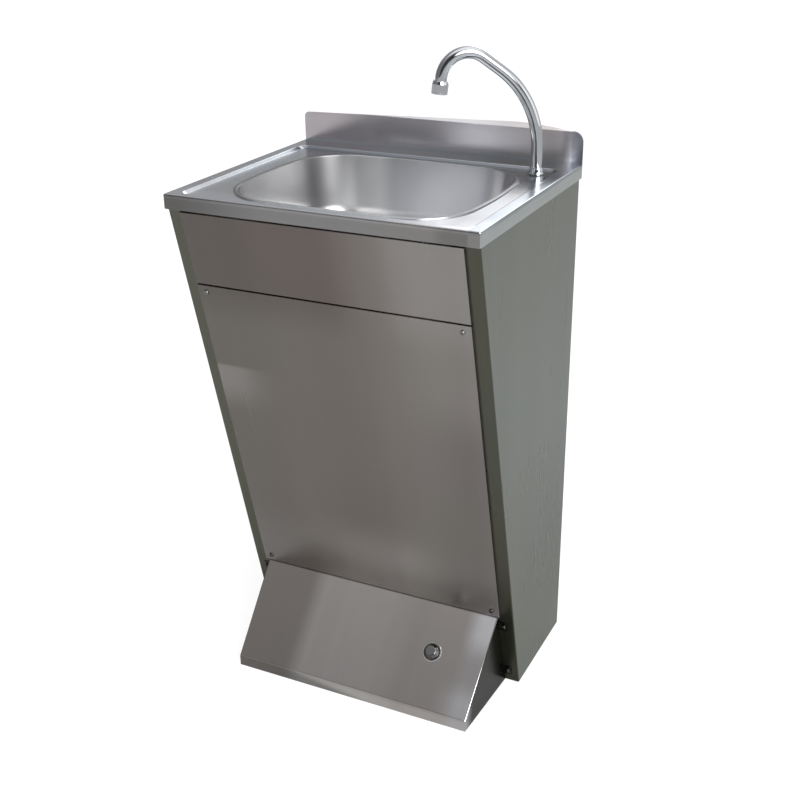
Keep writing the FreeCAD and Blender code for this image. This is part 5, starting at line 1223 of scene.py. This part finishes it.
@dataclass
class Studio:
    """White floor, pale surroundings, soft lamps and the camera."""

    level: float = 0.62
    least: float = 0.06
    glows: tuple[Glow, ...] = (
        Glow((0.15, 0.0, 1.0), 12, 52, 0.70),
        Glow((-0.50, 0.25, 0.83), 6, 26, -0.45),
        Glow((-0.10, 0.92, 0.38), 4, 16, 2.6),
        Glow((-0.25, 0.933, 0.24), 3, 12, 1.4),
        Glow((-0.62, 0.75, 0.21), 6, 20, -0.30),
        Glow((0.42, -0.87, 0.20), 32, 66, -0.60),
        Glow((-0.90, -0.30, 0.15), 20, 52, -0.42),
        Glow((0.69, -0.52, 0.42), 8, 25, 14.5),
        Glow((0.97, 0.20, 0.15), 8, 30, 0.80),
    )
    lamps: tuple[Lamp, ...] = (
        Lamp("key", (-1.6, -1.8, 3.2), (0, 0, 0.5), 2.2, 70.0),
        Lamp("fill", (2.4, -1.2, 2.6), (0, 0, 0.4), 2.4, 38.0),
    )
    floor_colour: Triple = (0.40, 0.40, 0.40)
    floor_white: float = 1.58
    floor_share: float = 0.50
    floor_size: float = 30.0
    camera_place: Triple = (0.8178, -1.6166, 1.2902)
    azimuth: float = 26.073
    elevation: float = 23.93
    roll: float = -0.639
    lens: float = 54.38
    sensor: float = 36.0

    def world(self) -> None:
        """White to the camera, soft patches of light and shade to everything else."""
        world = bpy.data.worlds.new("surroundings")
        world.use_nodes = True
        bpy.context.scene.world = world
        graph = Graph(world.node_tree)
        way = graph.node("ShaderNodeTexCoord", {}, {}, "Generated")
        total = self.level
        for glow in self.glows:
            axis = Vector(glow.way).normalized()
            facing = graph.dot(way, axis)
            outer = math.cos(math.radians(glow.outer))
            inner = math.cos(math.radians(glow.inner))
            total = graph.ramp(facing, outer, inner, 0.0, glow.level) + total
        total = graph.node("ShaderNodeMath", {"operation": "MAXIMUM"}, {0: total, 1: self.least})
        camera = graph.node("ShaderNodeLightPath", {}, {}, "Is Camera Ray")
        strength = camera * (1.0 - total) + total
        shader = graph.node("ShaderNodeBackground", {}, {"Color": WHITE, "Strength": strength})
        graph.output(shader, "ShaderNodeOutputWorld")

    def floor(self) -> None:
        """Pale floor that the camera sees white and that keeps the object's shadow."""
        material, graph = new_material("studio_floor")
        pale = graph.node("ShaderNodeBsdfDiffuse", {}, {"Color": rgba(self.floor_colour)})
        glow = graph.node("ShaderNodeEmission", {}, {"Color": WHITE, "Strength": self.floor_white})
        camera = graph.node("ShaderNodeLightPath", {}, {}, "Is Camera Ray")
        graph.output(graph.node("ShaderNodeMixShader", {}, {0: camera * self.floor_share, 1: pale, 2: glow}))
        surface = Surface()
        bmesh.ops.create_grid(surface.mesh, x_segments=1, y_segments=1, size=self.floor_size)
        floor = surface.made("studio_floor", material)

    def light(self) -> None:
        """Soft lamps that the camera doesn't see."""
        for lamp in self.lamps:
            data = bpy.data.lights.new(lamp.name, "AREA")
            data.shape = "DISK"
            data.size = lamp.size
            data.energy = lamp.watts
            source = bpy.data.objects.new(lamp.name, data)
            source.location = lamp.place
            aim = Vector(lamp.target) - Vector(lamp.place)
            source.rotation_euler = aim.to_track_quat("-Z", "Y").to_euler()
            source.visible_camera = False
            source.visible_glossy = False
            bpy.context.scene.collection.objects.link(source)

    def camera(self) -> None:
        """The photo's camera."""
        azimuth = math.radians(self.azimuth)
        elevation = math.radians(self.elevation)
        reach = math.cos(elevation)
        back = Vector((math.sin(azimuth) * reach, -math.cos(azimuth) * reach, math.sin(elevation)))
        right = (-back).cross(Vector((0, 0, 1))).normalized()
        upward = back.cross(right)
        turn = math.radians(self.roll)
        level = right * math.cos(turn) + upward * math.sin(turn)
        above = upward * math.cos(turn) - right * math.sin(turn)
        data = bpy.data.cameras.new("photo_camera")
        data.lens = self.lens
        data.sensor_width = self.sensor
        camera = bpy.data.objects.new("photo_camera", data)
        axes = Matrix((level, above, back)).transposed().to_4x4()
        camera.matrix_world = Matrix.Translation(self.camera_place) @ axes
        bpy.context.scene.collection.objects.link(camera)
        bpy.context.scene.camera = camera

    def build(self) -> None:
        """Sets up the whole studio."""
        self.world()
        self.floor()
        self.light()
        self.camera()
        bpy.context.scene.view_settings.view_transform = "Standard"


def main() -> None:
    """Builds the looks round the CAD frame."""
    logging.basicConfig(level=logging.INFO, format="%(name)s: %(message)s")
    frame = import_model()
    frame["slots"] = {name: node.data.materials[0].name for name, node in frame["nodes"].items()}
    palette = Palette()
    for assembly in (Worktop, Bowl, Cabinet, KickPlate, Spout, FootValve, Plumbing):
        assembly(frame, palette).build()
    Studio().build()


if __name__ == "__main__":
    main()
